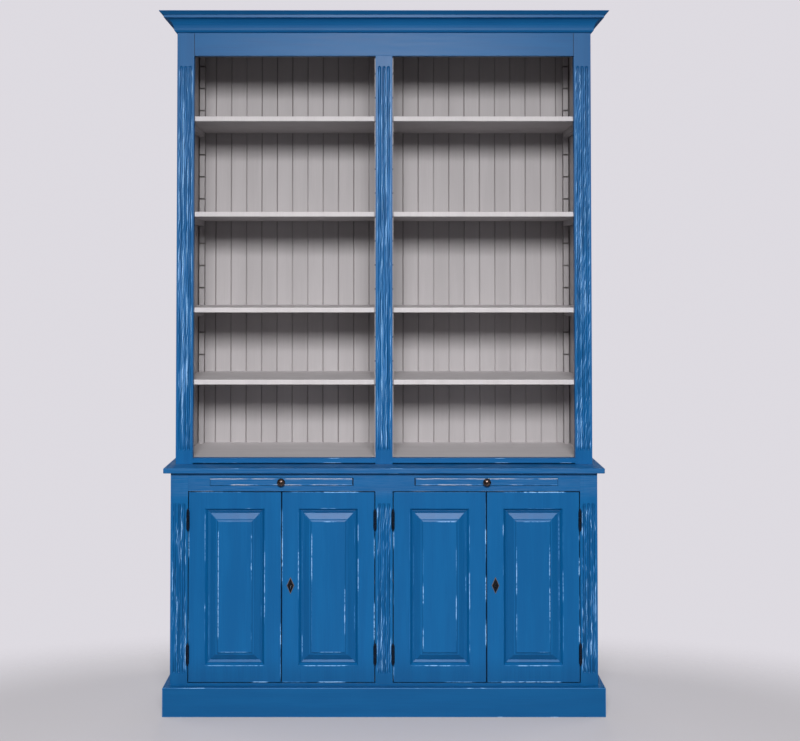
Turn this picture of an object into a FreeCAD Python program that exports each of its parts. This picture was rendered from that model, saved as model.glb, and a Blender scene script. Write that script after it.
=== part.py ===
import FreeCAD, Part
import math
import os

os.makedirs("parts", exist_ok=True)

# Painted bookcase on a cupboard with four doors. Millimetres. X runs along the width, Y from front to back,
# Z up. The origin is on the floor at the middle of the footprint. The front faces -Y.

# ---------------------------------------------------------------- driving dimensions: whole cabinet
TOTAL_HEIGHT = 2200.0
BASE_WIDTH = 1330.0
BASE_DEPTH = 410.0
UPPER_SET_IN = 4.0  # each side of the upper case, from the base's side below it
UPPER_WIDTH = BASE_WIDTH - 2 * UPPER_SET_IN
UPPER_DEPTH = 350.0
FRONT_OVERHANG = 20.0  # plinth and base top, in front of and beside the base

# ---------------------------------------------------------------- boards
SIDE_T = 18.0
PARTITION_T = 18.0
FRAME_T = 22.0  # face frame of stiles and rails
BACK_T = 10.0
REBATE_W = 9.0  # step in a side panel that takes the back boards
STILE_W = 54.0
CENTRE_STILE_W = 54.0

# ---------------------------------------------------------------- base levels
PLINTH_H = 89.0
PLINTH_ROUND = 2.5
BASE_RAIL_TOP = 97.0  # top of the bottom rail, where the doors start
BOTTOM_RAIL_H = 60.0
BASE_FLOOR_T = 18.0
DOOR_OPENING_H = 593.0
TOP_RAIL_H = 58.0
BASE_TOP_T = 16.0
BASE_TOP_ROUND = 2.0

# ---------------------------------------------------------------- upper levels
STAND_GAP = 4.0  # upper floor and bottom rail stay this far above the base top
UPPER_FLOOR_T = 15.0
UPPER_RAIL_H = 15.0
FRIEZE_H = 73.0  # visible height under the cornice
ROOF_UP = 1.0  # underside above the foot of the cornice
ROOF_T = 18.0
SHELF_T = 16.0
RACK_PITCH = 76.8
FIRST_PLACE_UP = 230.2  # lowest place for a shelf's underside, above the upper floor
SHELF_PLACES = (0, 3, 7, 11)  # place of each shelf, counted from the lowest as 0

# ---------------------------------------------------------------- racks, bearers and shelves
RACK_W = 17.0
RACK_D = 28.0
RACK_GAP = 4.0  # between a rack and the panel beside it
SLOT_H = 5.0
SLOT_DEEP = 8.0
BEARER_H = 18.0
BEARER_LIP_T = 3.5  # lip at a bearer's top that sits in a slot
BEARER_PLAY = 0.5
SHELF_PLAY = 1.0
SHELF_FRONT_ROUND = 2.0

# ---------------------------------------------------------------- cornice profile
CORNICE_OUT = 50.0
CORNICE_H = 62.0
CORNICE_TOP_BEAD_H = 11.0
CORNICE_FILLET_H = 9.0
CORNICE_FILLET_OUT = 37.0
CORNICE_STEP = 3.0  # underside of the fillet, past the cove
CORNICE_BEAD_STEP = 2.0  # top of the fillet, under the bead
CORNICE_BEAD_SLOPE_H = 7.5
CORNICE_NOSE = 2.5  # rounded front of the bead
CORNICE_NOSE_UP = 1.5
CORNICE_TOE_OUT = 9.0
CORNICE_TOE_H = 7.0
CORNICE_TOE_ROUND_OUT = 5.0
CORNICE_TOE_ROUND_H = 1.5
COVE_FACETS = 7

# ---------------------------------------------------------------- flutes
FLUTE_W = 9.5
FLUTE_PITCH = 14.0
FLUTE_DEEP = 4.0
UPPER_FLUTE_FROM_TOP = 33.0  # under the frieze
UPPER_FLUTE_FROM_FOOT = 42.0  # over the base top
BASE_FLUTE_FROM_TOP = 38.0  # under the door opening's head
BASE_FLUTE_FROM_FOOT = 29.0  # over the bottom rail

# ---------------------------------------------------------------- back boards
BOARD_PITCH = 53.4
FIRST_BOARD_W = 57.0
BOARD_V = 2.5  # chamfer on each board edge
TONGUE_T = 3.0
TONGUE_L = 4.0
TONGUE_PLAY = 0.3

# ---------------------------------------------------------------- pull-out boards
SLIDE_W = 443.0
SLIDE_T = 22.0
SLIDE_L = 330.0
SLIDE_SLOT_PLAY = 1.5  # above and below the board
SLIDE_GAP_OUT = 1.0  # at the board's end towards the cabinet's side
SLIDE_GAP_IN = 3.5  # at the board's end towards the middle
SLIDE_TRAVEL = 260.0
PEG_R = 5.0
PEG_SET = 8.0  # depth in the board
PEG_DROP = 16.0  # length below the board
PEG_IN = 43.0  # from the board's side edge
PEG_PLAY = 0.5
RUNNER_W = 26.0
RUNNER_GROOVE = 12.0
RUNNER_PLAY = 0.5
KNOB_R = 12.5
KNOB_OUT = 19.0
KNOB_DOME = 7.0  # depth of the head's rounded front
KNOB_NECK_R = 5.0
KNOB_NECK_OUT = 7.5  # back of the head, from the board
KNOB_BACK_BULGE = 2.2
KNOB_FOOT_R = 8.5
KNOB_FLARE = 1.5  # hollow of the flared foot
KNOB_STUD_R = 2.5
KNOB_STUD_L = 16.0

# ---------------------------------------------------------------- doors
DOOR_GAP = 2.0
DOOR_T = 21.5
DOOR_FRAME_W = 52.0
STICKING_W = 7.0
STICKING_D = 9.5
GROOVE_DEEP = 8.0
PANEL_TONGUE_T = 6.0
PANEL_T = 17.0
PANEL_PLAY = 0.5
QUIRK_W = 1.0  # open line between the frame and the panel's edge
MARGIN_W = 8.5  # slope between the frame and the bevel
MARGIN_RISE = 2.5  # outer edge of that slope, in front of its inner edge
BEVEL_W = 17.5
LEDGE_W = 3.0
STEP_W = 5.0
STEP_DEEP = 2.5
FIELD_SET_BACK = 0.5
TENON_T = 7.0
TENON_L = 30.0
TENON_H = 18.0
STOP_T = 14.0
STOP_DROP = 10.0

# ---------------------------------------------------------------- hinges
HINGE_FROM_TOP = 88.0
HINGE_FROM_BOTTOM = 90.0
BARREL_R = 5.0
BARREL_CLEAR = 0.35
BARREL_L = 50.0
KNUCKLE_L = 16.0
KNUCKLE_PLAY = 0.4
PIN_R = 2.5
PIN_CLEAR = 0.05
FINIAL_L = 11.0
FINIAL_COLLAR_R = 4.5
FINIAL_COLLAR_L = 2.8
FINIAL_NECK_R = 3.1
FINIAL_BULB_R = 4.1
FINIAL_BULB_L = 1.6  # from the collar to the bulb's widest place
FINIAL_TIP_R = 0.8
LEAF_T = 1.5
LEAF_W = 17.0
LEAF_SEAT = 0.1

# ---------------------------------------------------------------- locks and foot bolts
LOCK_UP = 301.0  # keyhole above the bottom rail
LOCK_IN = 27.0  # keyhole from the door's meeting edge
CASE_W = 36.0
CASE_H = 56.0
CASE_D = 11.0
CASE_WALL = 2.0
BOLT_H = 14.0
BOLT_T = 5.0
BOLT_L = 26.0
BOLT_THROW = 9.0
BOLT_PLAY = 0.4
STRIKE_PLAY = 1.0
PLATE_W = 24.0
PLATE_H = 52.0
PLATE_T = 2.0
PLATE_CHAMFER = 0.8
KEYHOLE_R = 3.2
KEYHOLE_SLOT_W = 3.0
KEYHOLE_SLOT_H = 9.0
FOOT_BOLT_R = 3.0
FOOT_BOLT_L = 70.0
FOOT_BOLT_THROW = 12.0
FOOT_BOLT_PLAY = 0.1
FOOT_BOLT_IN = 26.0  # from the door's meeting edge
FOOT_PLATE_T = 1.5
FOOT_PLATE_W = 22.0
FOOT_PLATE_H = 62.0
FOOT_GUIDE_H = 10.0
FOOT_GUIDE_WALL = 2.0
FOOT_KNOB_R = 3.5
FOOT_KNOB_L = 9.0
CUT_PAST = 1.0  # how far cutters run past the faces that they cut

# ---------------------------------------------------------------- base shelf
BASE_SHELF_UP = 290.0  # underside above the floor board
BASE_SHELF_T = 18.0
BASE_SHELF_SET_BACK = 30.0
BASE_BEARER_W = 16.0
BASE_BEARER_H = 24.0

# ---------------------------------------------------------------- places worked out from the above
BACK_Y = (BASE_DEPTH + FRONT_OVERHANG) / 2
BASE_Y = BACK_Y - BASE_DEPTH
UPPER_Y = BACK_Y - UPPER_DEPTH
TOP_Y = BASE_Y - FRONT_OVERHANG
BACK_FACE = BACK_Y - BACK_T
BASE_IN_Y = BASE_Y + FRAME_T
UPPER_IN_Y = UPPER_Y + FRAME_T

DOOR_TOP_Z = BASE_RAIL_TOP + DOOR_OPENING_H
BASE_BODY_H = DOOR_TOP_Z + TOP_RAIL_H
BASE_H = BASE_BODY_H + BASE_TOP_T
BASE_FLOOR_LOW = BASE_RAIL_TOP - BASE_FLOOR_T
BASE_SHELF_LOW = BASE_RAIL_TOP + BASE_SHELF_UP
SLIDE_Z = DOOR_TOP_Z + TOP_RAIL_H / 2
SLIDE_LOW = SLIDE_Z - SLIDE_T / 2
UPPER_FLOOR_LOW = BASE_H + STAND_GAP
FLOOR_TOP = UPPER_FLOOR_LOW + UPPER_FLOOR_T
CORNICE_Z = TOTAL_HEIGHT - CORNICE_H
FRAME_TOP = TOTAL_HEIGHT - CORNICE_TOP_BEAD_H
FRIEZE_BOTTOM = CORNICE_Z - FRIEZE_H
ROOF_BOTTOM = CORNICE_Z + ROOF_UP

BASE_IN_X = BASE_WIDTH / 2 - SIDE_T
BASE_OPEN_X = BASE_WIDTH / 2 - STILE_W
UPPER_IN_X = UPPER_WIDTH / 2 - SIDE_T
UPPER_OPEN_X = UPPER_WIDTH / 2 - STILE_W
PART_X = PARTITION_T / 2
CENTRE_X = CENTRE_STILE_W / 2

PAIR_W = BASE_OPEN_X - CENTRE_X
PAIR_X = (BASE_OPEN_X + CENTRE_X) / 2
SLIDE_X = PAIR_X + (SLIDE_GAP_IN - SLIDE_GAP_OUT) / 2
DOOR_W = (PAIR_W - 3 * DOOR_GAP) / 2
DOOR_H = DOOR_OPENING_H - 2 * DOOR_GAP
DOOR_Z = BASE_RAIL_TOP + DOOR_GAP
DOOR_BACK = BASE_Y + DOOR_T
BASE_FLUTES = (BASE_RAIL_TOP + BASE_FLUTE_FROM_FOOT, DOOR_TOP_Z - BASE_FLUTE_FROM_TOP)
UPPER_FLUTES = (BASE_H + UPPER_FLUTE_FROM_FOOT, FRIEZE_BOTTOM - UPPER_FLUTE_FROM_TOP)
PIN_Y = BASE_Y - BARREL_R - BARREL_CLEAR
LOCK_Z = BASE_RAIL_TOP + LOCK_UP
BOLT_Z = LOCK_Z - KEYHOLE_SLOT_H - BOLT_PLAY
BOLT_Y = DOOR_BACK - CASE_D / 2
FOOT_BOLT_Y = DOOR_BACK + FOOT_PLATE_T + FOOT_GUIDE_WALL + FOOT_BOLT_R
FOOT_BOLT_X = DOOR_W - FOOT_BOLT_IN  # from the door's hinge edge
FOOT_PLATE_LOW = DOOR_Z + FOOT_BOLT_THROW

V = FreeCAD.Vector
X_AXIS = V(1, 0, 0)
Y_AXIS = V(0, 1, 0)
Z_AXIS = V(0, 0, 1)


# ---------------------------------------------------------------- small tools
def box(x0, x1, y0, y1, z0, z1):
    return Part.makeBox(x1 - x0, y1 - y0, z1 - z0, V(x0, y0, z0))


def side_box(side, near, far, y0, y1, z0, z1):
    """Box between two distances from the middle plane, on the right (side 1) or the left (side -1)."""
    x0, x1 = sorted((side * near, side * far))
    return box(x0, x1, y0, y1, z0, z1)


def rod(radius, length, base, axis):
    return Part.makeCylinder(radius, length, base, axis)


def bowed(start, end, bulge):
    """Arc whose middle stands off its chord by bulge, to the left of the way it runs in the XY plane."""
    chord = end - start
    aside = V(-chord.y, chord.x, 0).normalize()
    return Part.Arc(start, (start + end) * 0.5 + aside * bulge, end)


def prism(points, sweep):
    """Solid from a closed outline of points, swept along a vector."""
    return Part.Face(Part.makePolygon(points + [points[0]])).extrude(sweep)


def mirrored(shape):
    return shape.mirror(V(0, 0, 0), X_AXIS)


def group(solids):
    return Part.makeCompound(solids)


def save(name, shape):
    shape.exportStep("parts/" + name + ".step")


def rounded(shape, radius, wanted):
    """Round the straight edges for which wanted(edge) is true."""
    edges = [edge for edge in shape.Edges if wanted(edge)]
    return shape.makeFillet(radius, edges)


def edge_at(edge, axis, values, near=1e-4):
    """True where every end of an edge has the given coordinates: axis letters paired with values."""
    ends = [vertex.Point for vertex in edge.Vertexes]
    return all(abs(getattr(p, a) - v) < near for p in ends for a, v in zip(axis, values))


# ---------------------------------------------------------------- plinth
def plinth():
    half = BASE_WIDTH / 2
    out = half + FRONT_OVERHANG
    front = prism([V(-out, TOP_Y, 0), V(out, TOP_Y, 0), V(half, BASE_Y, 0), V(-half, BASE_Y, 0)],
                  Z_AXIS * PLINTH_H)
    right = prism([V(half, BASE_Y, 0), V(out, TOP_Y, 0), V(out, BACK_Y, 0), V(half, BACK_Y, 0)],
                  Z_AXIS * PLINTH_H)
    front = rounded(front, PLINTH_ROUND, lambda edge: edge_at(edge, "yz", (TOP_Y, PLINTH_H)))
    right = rounded(right, PLINTH_ROUND, lambda edge: edge_at(edge, "xz", (out, PLINTH_H)))
    return group([front, mirrored(right), right])


# ---------------------------------------------------------------- carcass panels
def side_panel(half_width, front_y, low, high):
    """Right-hand side panel behind the face frame, rebated at the back for the back boards."""
    inner = half_width - SIDE_T
    panel = box(inner, half_width, front_y, BACK_Y, low, high)
    return panel.cut(box(inner - CUT_PAST, inner + REBATE_W, BACK_FACE, BACK_Y + CUT_PAST,
                         low - CUT_PAST, high + CUT_PAST))


def flutes(centre_x, front_y, low, high):
    """Three round-ended grooves of shallow round section, as one cutter."""
    radius = (FLUTE_W ** 2 / 4 + FLUTE_DEEP ** 2) / (2 * FLUTE_DEEP)
    axis_y = front_y + FLUTE_DEEP - radius
    cutters = []
    for step in (-1, 0, 1):
        x = centre_x + step * FLUTE_PITCH
        cutters.append(rod(radius, high - low - FLUTE_W, V(x, axis_y, low + FLUTE_W / 2), Z_AXIS))
        for z in (low + FLUTE_W / 2, high - FLUTE_W / 2):
            cutters.append(Part.makeSphere(radius, V(x, axis_y, z)))
    return cutters


def stile(centre_x, width, front_y, low, high, fluted):
    """Post of the face frame. fluted is the pair of levels between which it is fluted."""
    post = box(centre_x - width / 2, centre_x + width / 2, front_y, front_y + FRAME_T, low, high)
    return post.cut(flutes(centre_x, front_y, fluted[0], fluted[1]))


def back_board(x0, x1, low, high, tongue, groove):
    """One tongued and grooved board, its front edges chamfered to make a V with the next."""
    chamfer_0 = BOARD_V if groove else 0
    chamfer_1 = BOARD_V if tongue else 0
    front = BACK_FACE
    outline = [V(x0 + chamfer_0, front, low), V(x1 - chamfer_1, front, low)]
    if tongue:
        outline.append(V(x1, front + BOARD_V, low))
    outline += [V(x1, BACK_Y, low), V(x0, BACK_Y, low)]
    if groove:
        outline.append(V(x0, front + BOARD_V, low))
    board = prism(outline, Z_AXIS * (high - low))
    tongue_y = front + BOARD_V + (BACK_T - BOARD_V) / 2
    if tongue:
        board = board.fuse(box(x1, x1 + TONGUE_L, tongue_y - TONGUE_T / 2, tongue_y + TONGUE_T / 2,
                               low, high)).removeSplitter()
    if groove:
        half = TONGUE_T / 2 + TONGUE_PLAY
        board = board.cut(box(x0 - CUT_PAST, x0 + TONGUE_L + TONGUE_PLAY, tongue_y - half, tongue_y + half,
                              low - CUT_PAST, high + CUT_PAST))
    return board


def board_edges(start, end):
    """Joints between the boards of one bay, first and last included. No board is under a third of a pitch."""
    edges = [start, start + FIRST_BOARD_W]
    while edges[-1] + BOARD_PITCH < end - BOARD_PITCH / 3:
        edges.append(edges[-1] + BOARD_PITCH)
    edges.append(end)
    return edges


def back_boards(outer_x, low, high):
    """Boards of both bays. outer_x is the rebate's wall; the bays meet on the partition's centre line."""
    solids = []
    for start, end, first in ((-outer_x, 0.0, REBATE_W), (0.0, outer_x, PART_X)):
        edges = board_edges(start + first, end)
        edges[0] = start
        last = len(edges) - 2
        for k in range(last + 1):
            solids.append(back_board(edges[k], edges[k + 1], low, high, k < last, k > 0))
    return group(solids)


# ---------------------------------------------------------------- base carcass
def base_rails():
    """Top rail with its two slots, and bottom rail."""
    top = box(-BASE_OPEN_X, BASE_OPEN_X, BASE_Y, BASE_IN_Y, DOOR_TOP_Z, BASE_BODY_H)
    slots = [side_box(side, SLIDE_X - SLIDE_W / 2 - SLIDE_GAP_IN, SLIDE_X + SLIDE_W / 2 + SLIDE_GAP_OUT,
                      BASE_Y - CUT_PAST, BASE_IN_Y + CUT_PAST,
                      SLIDE_LOW - SLIDE_SLOT_PLAY, SLIDE_LOW + SLIDE_T + SLIDE_SLOT_PLAY) for side in (-1, 1)]
    bottom = box(-BASE_OPEN_X, BASE_OPEN_X, BASE_Y, BASE_IN_Y, BASE_RAIL_TOP - BOTTOM_RAIL_H,
                 BASE_RAIL_TOP)
    return top.cut(slots), bottom


def base_floor():
    floor = box(-BASE_IN_X, BASE_IN_X, BASE_IN_Y, BACK_FACE, BASE_FLOOR_LOW, BASE_RAIL_TOP)
    holes = []
    for number in (1, 3):
        holes.append(rod(FOOT_BOLT_R + STRIKE_PLAY, BASE_FLOOR_T + 2 * CUT_PAST,
                         V(door_edge(number) + FOOT_BOLT_X, FOOT_BOLT_Y, BASE_FLOOR_LOW - CUT_PAST), Z_AXIS))
    return floor.cut(holes)


def base_top():
    half = BASE_WIDTH / 2 + FRONT_OVERHANG
    slab = box(-half, half, TOP_Y, BACK_Y, BASE_BODY_H, BASE_H)

    def outer(edge):
        level = edge_at(edge, "z", (BASE_BODY_H,)) or edge_at(edge, "z", (BASE_H,))
        place = edge_at(edge, "y", (TOP_Y,)) or edge_at(edge, "x", (-half,)) or edge_at(edge, "x", (half,))
        return level and place
    return rounded(slab, BASE_TOP_ROUND, outer)


def runner(x_low, x_high, open_side):
    """Grooved batten under the base top. open_side is +1 where the groove faces +X."""
    batten = box(x_low, x_high, BASE_IN_Y, BACK_FACE, DOOR_TOP_Z + STOP_DROP, BASE_BODY_H)
    mouth = x_high if open_side > 0 else x_low
    x0, x1 = sorted((mouth - open_side * RUNNER_GROOVE, mouth + open_side * CUT_PAST))
    return batten.cut(box(x0, x1, BASE_IN_Y - CUT_PAST, BACK_FACE + CUT_PAST,
                          SLIDE_LOW - RUNNER_PLAY, SLIDE_LOW + SLIDE_T + RUNNER_PLAY))


def runners():
    solids = []
    reach = SLIDE_W / 2 + RUNNER_PLAY - RUNNER_GROOVE
    for x in (-SLIDE_X, SLIDE_X):
        solids.append(runner(x - reach - RUNNER_W, x - reach, 1))
        solids.append(runner(x + reach, x + reach + RUNNER_W, -1))
    return group(solids)


def stop_battens():
    """Battens behind the top rail, under the runners' front ends, that the doors close against."""
    return group([side_box(side, PART_X, BASE_IN_X, BASE_IN_Y, BASE_IN_Y + STOP_T,
                           DOOR_TOP_Z - STOP_DROP, DOOR_TOP_Z + STOP_DROP) for side in (-1, 1)])


def base_shelves():
    """One shelf in each bay, on two bearers."""
    front = BASE_IN_Y + BASE_SHELF_SET_BACK
    shelves = []
    cleats = []
    for side in (-1, 1):
        shelves.append(side_box(side, PART_X + SHELF_PLAY, BASE_IN_X - SHELF_PLAY,
                                front, BACK_FACE - SHELF_PLAY, BASE_SHELF_LOW, BASE_SHELF_LOW + BASE_SHELF_T))
        for near in (PART_X, BASE_IN_X - BASE_BEARER_W):
            cleats.append(side_box(side, near, near + BASE_BEARER_W, front + SHELF_PLAY, BACK_FACE,
                                   BASE_SHELF_LOW - BASE_BEARER_H, BASE_SHELF_LOW))
    return group(shelves), group(cleats)


# ---------------------------------------------------------------- pull-out boards
def slide_board(side):
    """Board with two pegs under its back end, which meet the stop batten when it is pulled right out."""
    x = side * SLIDE_X
    board = box(x - SLIDE_W / 2, x + SLIDE_W / 2, BASE_Y, BASE_Y + SLIDE_L, SLIDE_LOW, SLIDE_LOW + SLIDE_T)
    hole = rod(KNOB_STUD_R, KNOB_STUD_L, V(x, BASE_Y, SLIDE_Z), Y_AXIS)
    peg_x = SLIDE_W / 2 - PEG_IN
    peg_y = BASE_IN_Y + STOP_T + SLIDE_TRAVEL + PEG_PLAY + PEG_R
    pegs = [rod(PEG_R, PEG_DROP + PEG_SET, V(x + way * peg_x, peg_y, SLIDE_LOW - PEG_DROP), Z_AXIS)
            for way in (-1, 1)]
    return group([board.cut([hole] + pegs)] + pegs)


def knob(side):
    """Turned knob: flared foot, neck and domed head, with a stud into the board."""
    tip = V(0, -KNOB_OUT, 0)
    rim = V(KNOB_R, KNOB_DOME - KNOB_OUT, 0)
    neck = V(KNOB_NECK_R, -KNOB_NECK_OUT, 0)
    foot = V(KNOB_FOOT_R, 0, 0)
    middle = V(0, 0, 0)
    dome_r = (KNOB_R ** 2 + KNOB_DOME ** 2) / (2 * KNOB_DOME)
    dome_bulge = dome_r - math.sqrt(dome_r ** 2 - (KNOB_R ** 2 + KNOB_DOME ** 2) / 4)
    profile = [bowed(tip, rim, -dome_bulge), bowed(rim, neck, -KNOB_BACK_BULGE),
               bowed(neck, foot, KNOB_FLARE), Part.LineSegment(foot, middle), Part.LineSegment(middle, tip)]
    wire = Part.Wire([piece.toShape() for piece in profile])
    head = Part.Face(wire).revolve(middle, Y_AXIS, 360)
    turned = head.fuse(rod(KNOB_STUD_R, KNOB_STUD_L, middle, Y_AXIS)).removeSplitter()
    turned.translate(V(side * SLIDE_X, BASE_Y, SLIDE_Z))
    return turned


# ---------------------------------------------------------------- doors
# A door is drawn with its hinge edge at local x = 0 and its meeting edge at local x = DOOR_W, then placed.
# Doors 1 and 3 hang on their left edge, doors 2 and 4 on their right edge.
def door_edge(number):
    """World X of a door's hinge edge."""
    return {1: -BASE_OPEN_X + DOOR_GAP, 2: -CENTRE_X - DOOR_GAP,
            3: CENTRE_X + DOOR_GAP, 4: BASE_OPEN_X - DOOR_GAP}[number]


def hangs_left(number):
    return number in (1, 3)


def place(number, shape):
    """Move a door-local shape to its door."""
    if not hangs_left(number):
        shape = mirrored(shape)
    shape = shape.copy()
    shape.translate(V(door_edge(number), 0, 0))
    return shape


def door_ring(x0, x1, z0, z1, inset, y):
    """Closed rectangle in the door's plane, inset from the given edges."""
    a, b, c, d = x0 + inset, x1 - inset, z0 + inset, z1 - inset
    return Part.makePolygon([V(a, y, c), V(b, y, c), V(b, y, d), V(a, y, d), V(a, y, c)])


def sticking_cutter(x0, x1, z0, z1):
    """Sloped cut round the inside arris of a door frame, as a truncated pyramid."""
    outer = door_ring(x0, x1, z0, z1, 0, BASE_Y)
    inner = door_ring(x0, x1, z0, z1, STICKING_W, BASE_Y + STICKING_D)
    return Part.makeLoft([outer, inner], True, True)


def door_opening():
    """Panel opening at the arris: x0, x1, z0, z1 in door-local x."""
    return (DOOR_FRAME_W, DOOR_W - DOOR_FRAME_W, DOOR_Z + DOOR_FRAME_W, DOOR_Z + DOOR_H - DOOR_FRAME_W)


def door_frame():
    """Two stiles and two rails: mortised and tenoned, grooved for the panel, hinge seats cut in the edge."""
    x0, x1, z0, z1 = door_opening()
    s = STICKING_W
    left = box(0, x0 + s, BASE_Y, DOOR_BACK, DOOR_Z, DOOR_Z + DOOR_H)
    right = box(x1 - s, DOOR_W, BASE_Y, DOOR_BACK, DOOR_Z, DOOR_Z + DOOR_H)
    rails = [box(x0 + s, x1 - s, BASE_Y, DOOR_BACK, DOOR_Z, z0 + s),
             box(x0 + s, x1 - s, BASE_Y, DOOR_BACK, z1 - s, DOOR_Z + DOOR_H)]
    tongue_y = BASE_Y + STICKING_D + PANEL_PLAY
    groove = box(x0 + s - GROOVE_DEEP, x1 - s + GROOVE_DEEP, tongue_y, tongue_y + PANEL_TONGUE_T + PANEL_PLAY,
                 z0 + s - GROOVE_DEEP, z1 - s + GROOVE_DEEP)
    slope = sticking_cutter(x0, x1, z0, z1)
    joined = []
    tenons = []
    half = TENON_H / 2
    for rail, middle in ((rails[0], (DOOR_Z + z0) / 2), (rails[1], (z1 + DOOR_Z + DOOR_H) / 2)):
        tenon = box(x0 + s - TENON_L, x1 - s + TENON_L, tongue_y, tongue_y + TENON_T,
                    middle - half, middle + half)
        tenons.append(tenon)
        joined.append(rail.cut([groove, slope]).fuse(tenon).removeSplitter())
    left = left.cut([groove, slope] + tenons)
    right = right.cut([groove, slope] + tenons)
    return left, right, joined[0], joined[1]


def hinge_centres():
    return (DOOR_TOP_Z - HINGE_FROM_TOP, BASE_RAIL_TOP + HINGE_FROM_BOTTOM)


def leaf_seat(edge_x, inward, z):
    """Shallow seat for a hinge leaf, cut into a vertical edge. inward is +1 where the wood lies at +X."""
    deep = LEAF_T + LEAF_SEAT
    ends = sorted((edge_x - inward * CUT_PAST, edge_x + inward * deep))
    return box(ends[0], ends[1], BASE_Y - CUT_PAST, BASE_Y + LEAF_W + LEAF_SEAT,
               z - BARREL_L / 2 - LEAF_SEAT, z + BARREL_L / 2 + LEAF_SEAT)


def door_panel():
    """Raised and fielded panel: tongue, sloped margin, bevel, narrow ledge, sloped step and flat field."""
    x0, x1, z0, z1 = door_opening()
    s = STICKING_W
    reach = GROOVE_DEEP - PANEL_PLAY
    tongue_y = BASE_Y + STICKING_D + PANEL_PLAY
    tongue = box(x0 + s - reach, x1 - s + reach, tongue_y, tongue_y + PANEL_TONGUE_T,
                 z0 + s - reach, z1 - s + reach)
    field_y = BASE_Y + FIELD_SET_BACK
    ledge_y = field_y + STEP_DEEP

    def raised(near, near_y, far, far_y):
        """Frustum between two rectangles, given by their distance inside the sticking."""
        return Part.makeLoft([door_ring(x0, x1, z0, z1, s + near, near_y),
                              door_ring(x0, x1, z0, z1, s + far, far_y)], True, True)

    bevel = raised(MARGIN_W, tongue_y, MARGIN_W + BEVEL_W, ledge_y)
    ledge = MARGIN_W + BEVEL_W + LEDGE_W
    field = raised(ledge, ledge_y, ledge + STEP_W, field_y)
    edge = s + QUIRK_W
    rim_y = tongue_y - MARGIN_RISE
    body = box(x0 + edge, x1 - edge, rim_y, BASE_Y + PANEL_T, z0 + edge, z1 - edge)
    body = body.cut(raised(QUIRK_W, rim_y, MARGIN_W, tongue_y))
    return body.fuse([bevel, field, tongue]).removeSplitter()


def keyhole(y0, y1):
    """Keyhole cutter along Y: a round top over a slot."""
    x = DOOR_W - LOCK_IN
    hole = rod(KEYHOLE_R, y1 - y0, V(x, y0, LOCK_Z), Y_AXIS)
    slot = box(x - KEYHOLE_SLOT_W / 2, x + KEYHOLE_SLOT_W / 2, y0, y1, LOCK_Z - KEYHOLE_SLOT_H, LOCK_Z)
    return hole.fuse(slot)


def case_box():
    """Outside of the lock case, let into the door's back face and open to its meeting edge."""
    return (DOOR_W - CASE_W, DOOR_W, DOOR_BACK - CASE_D, DOOR_BACK, LOCK_Z - CASE_H / 2, LOCK_Z + CASE_H / 2)


def bolt_box(x0, x1, play):
    """Section of the lock bolt, with play all round, between two door-local x."""
    return box(x0, x1, BOLT_Y - BOLT_T / 2 - play, BOLT_Y + BOLT_T / 2 + play,
               BOLT_Z - BOLT_H / 2 - play, BOLT_Z + BOLT_H / 2 + play)


def lock_bolt():
    return bolt_box(DOOR_W - BOLT_L, DOOR_W - BOLT_PLAY, 0)


def lock_case():
    x0, x1, y0, y1, z0, z1 = case_box()
    case = box(x0, x1, y0, y1, z0, z1)
    wall = CASE_WALL
    hollow = box(x0 + wall, x1 - wall, y0 + wall, y1 - wall, z0 + wall, z1 - wall)
    mouth = bolt_box(x1 - wall - CUT_PAST, x1 + CUT_PAST, BOLT_PLAY)
    return case.cut([hollow, mouth, keyhole(y0 - CUT_PAST, y0 + wall + CUT_PAST)])


def strike_cutter():
    """Mortise for the lock bolt in the door beside the lock, in door-local x of that door."""
    deep = BOLT_THROW - DOOR_GAP + STRIKE_PLAY
    return bolt_box(DOOR_W - deep, DOOR_W + CUT_PAST, STRIKE_PLAY)


def escutcheon():
    """Diamond keyhole plate with a chamfered edge."""
    x = DOOR_W - LOCK_IN
    face = BASE_Y - PLATE_T
    outline = [V(x - PLATE_W / 2, BASE_Y, LOCK_Z), V(x, BASE_Y, LOCK_Z + PLATE_H / 2),
               V(x + PLATE_W / 2, BASE_Y, LOCK_Z), V(x, BASE_Y, LOCK_Z - PLATE_H / 2)]
    plate = prism(outline, V(0, -PLATE_T, 0))
    plate = plate.makeChamfer(PLATE_CHAMFER, [e for e in plate.Edges if edge_at(e, "y", (face,))])
    return plate.cut(keyhole(face - CUT_PAST, BASE_Y + CUT_PAST))


def foot_guide():
    """Plate on the door's back with two bored guides."""
    x = FOOT_BOLT_X
    low = FOOT_PLATE_LOW
    plate = box(x - FOOT_PLATE_W / 2, x + FOOT_PLATE_W / 2, DOOR_BACK, DOOR_BACK + FOOT_PLATE_T,
                low, low + FOOT_PLATE_H)
    half = FOOT_BOLT_R + FOOT_GUIDE_WALL
    blocks = []
    for z in (low, low + FOOT_PLATE_H - FOOT_GUIDE_H):
        blocks.append(box(x - half, x + half, DOOR_BACK, FOOT_BOLT_Y + half, z, z + FOOT_GUIDE_H))
    bore = rod(FOOT_BOLT_R + FOOT_BOLT_PLAY, FOOT_PLATE_H + 2 * CUT_PAST,
               V(x, FOOT_BOLT_Y, low - CUT_PAST), Z_AXIS)
    return plate.fuse(blocks).removeSplitter().cut(bore)


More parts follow.
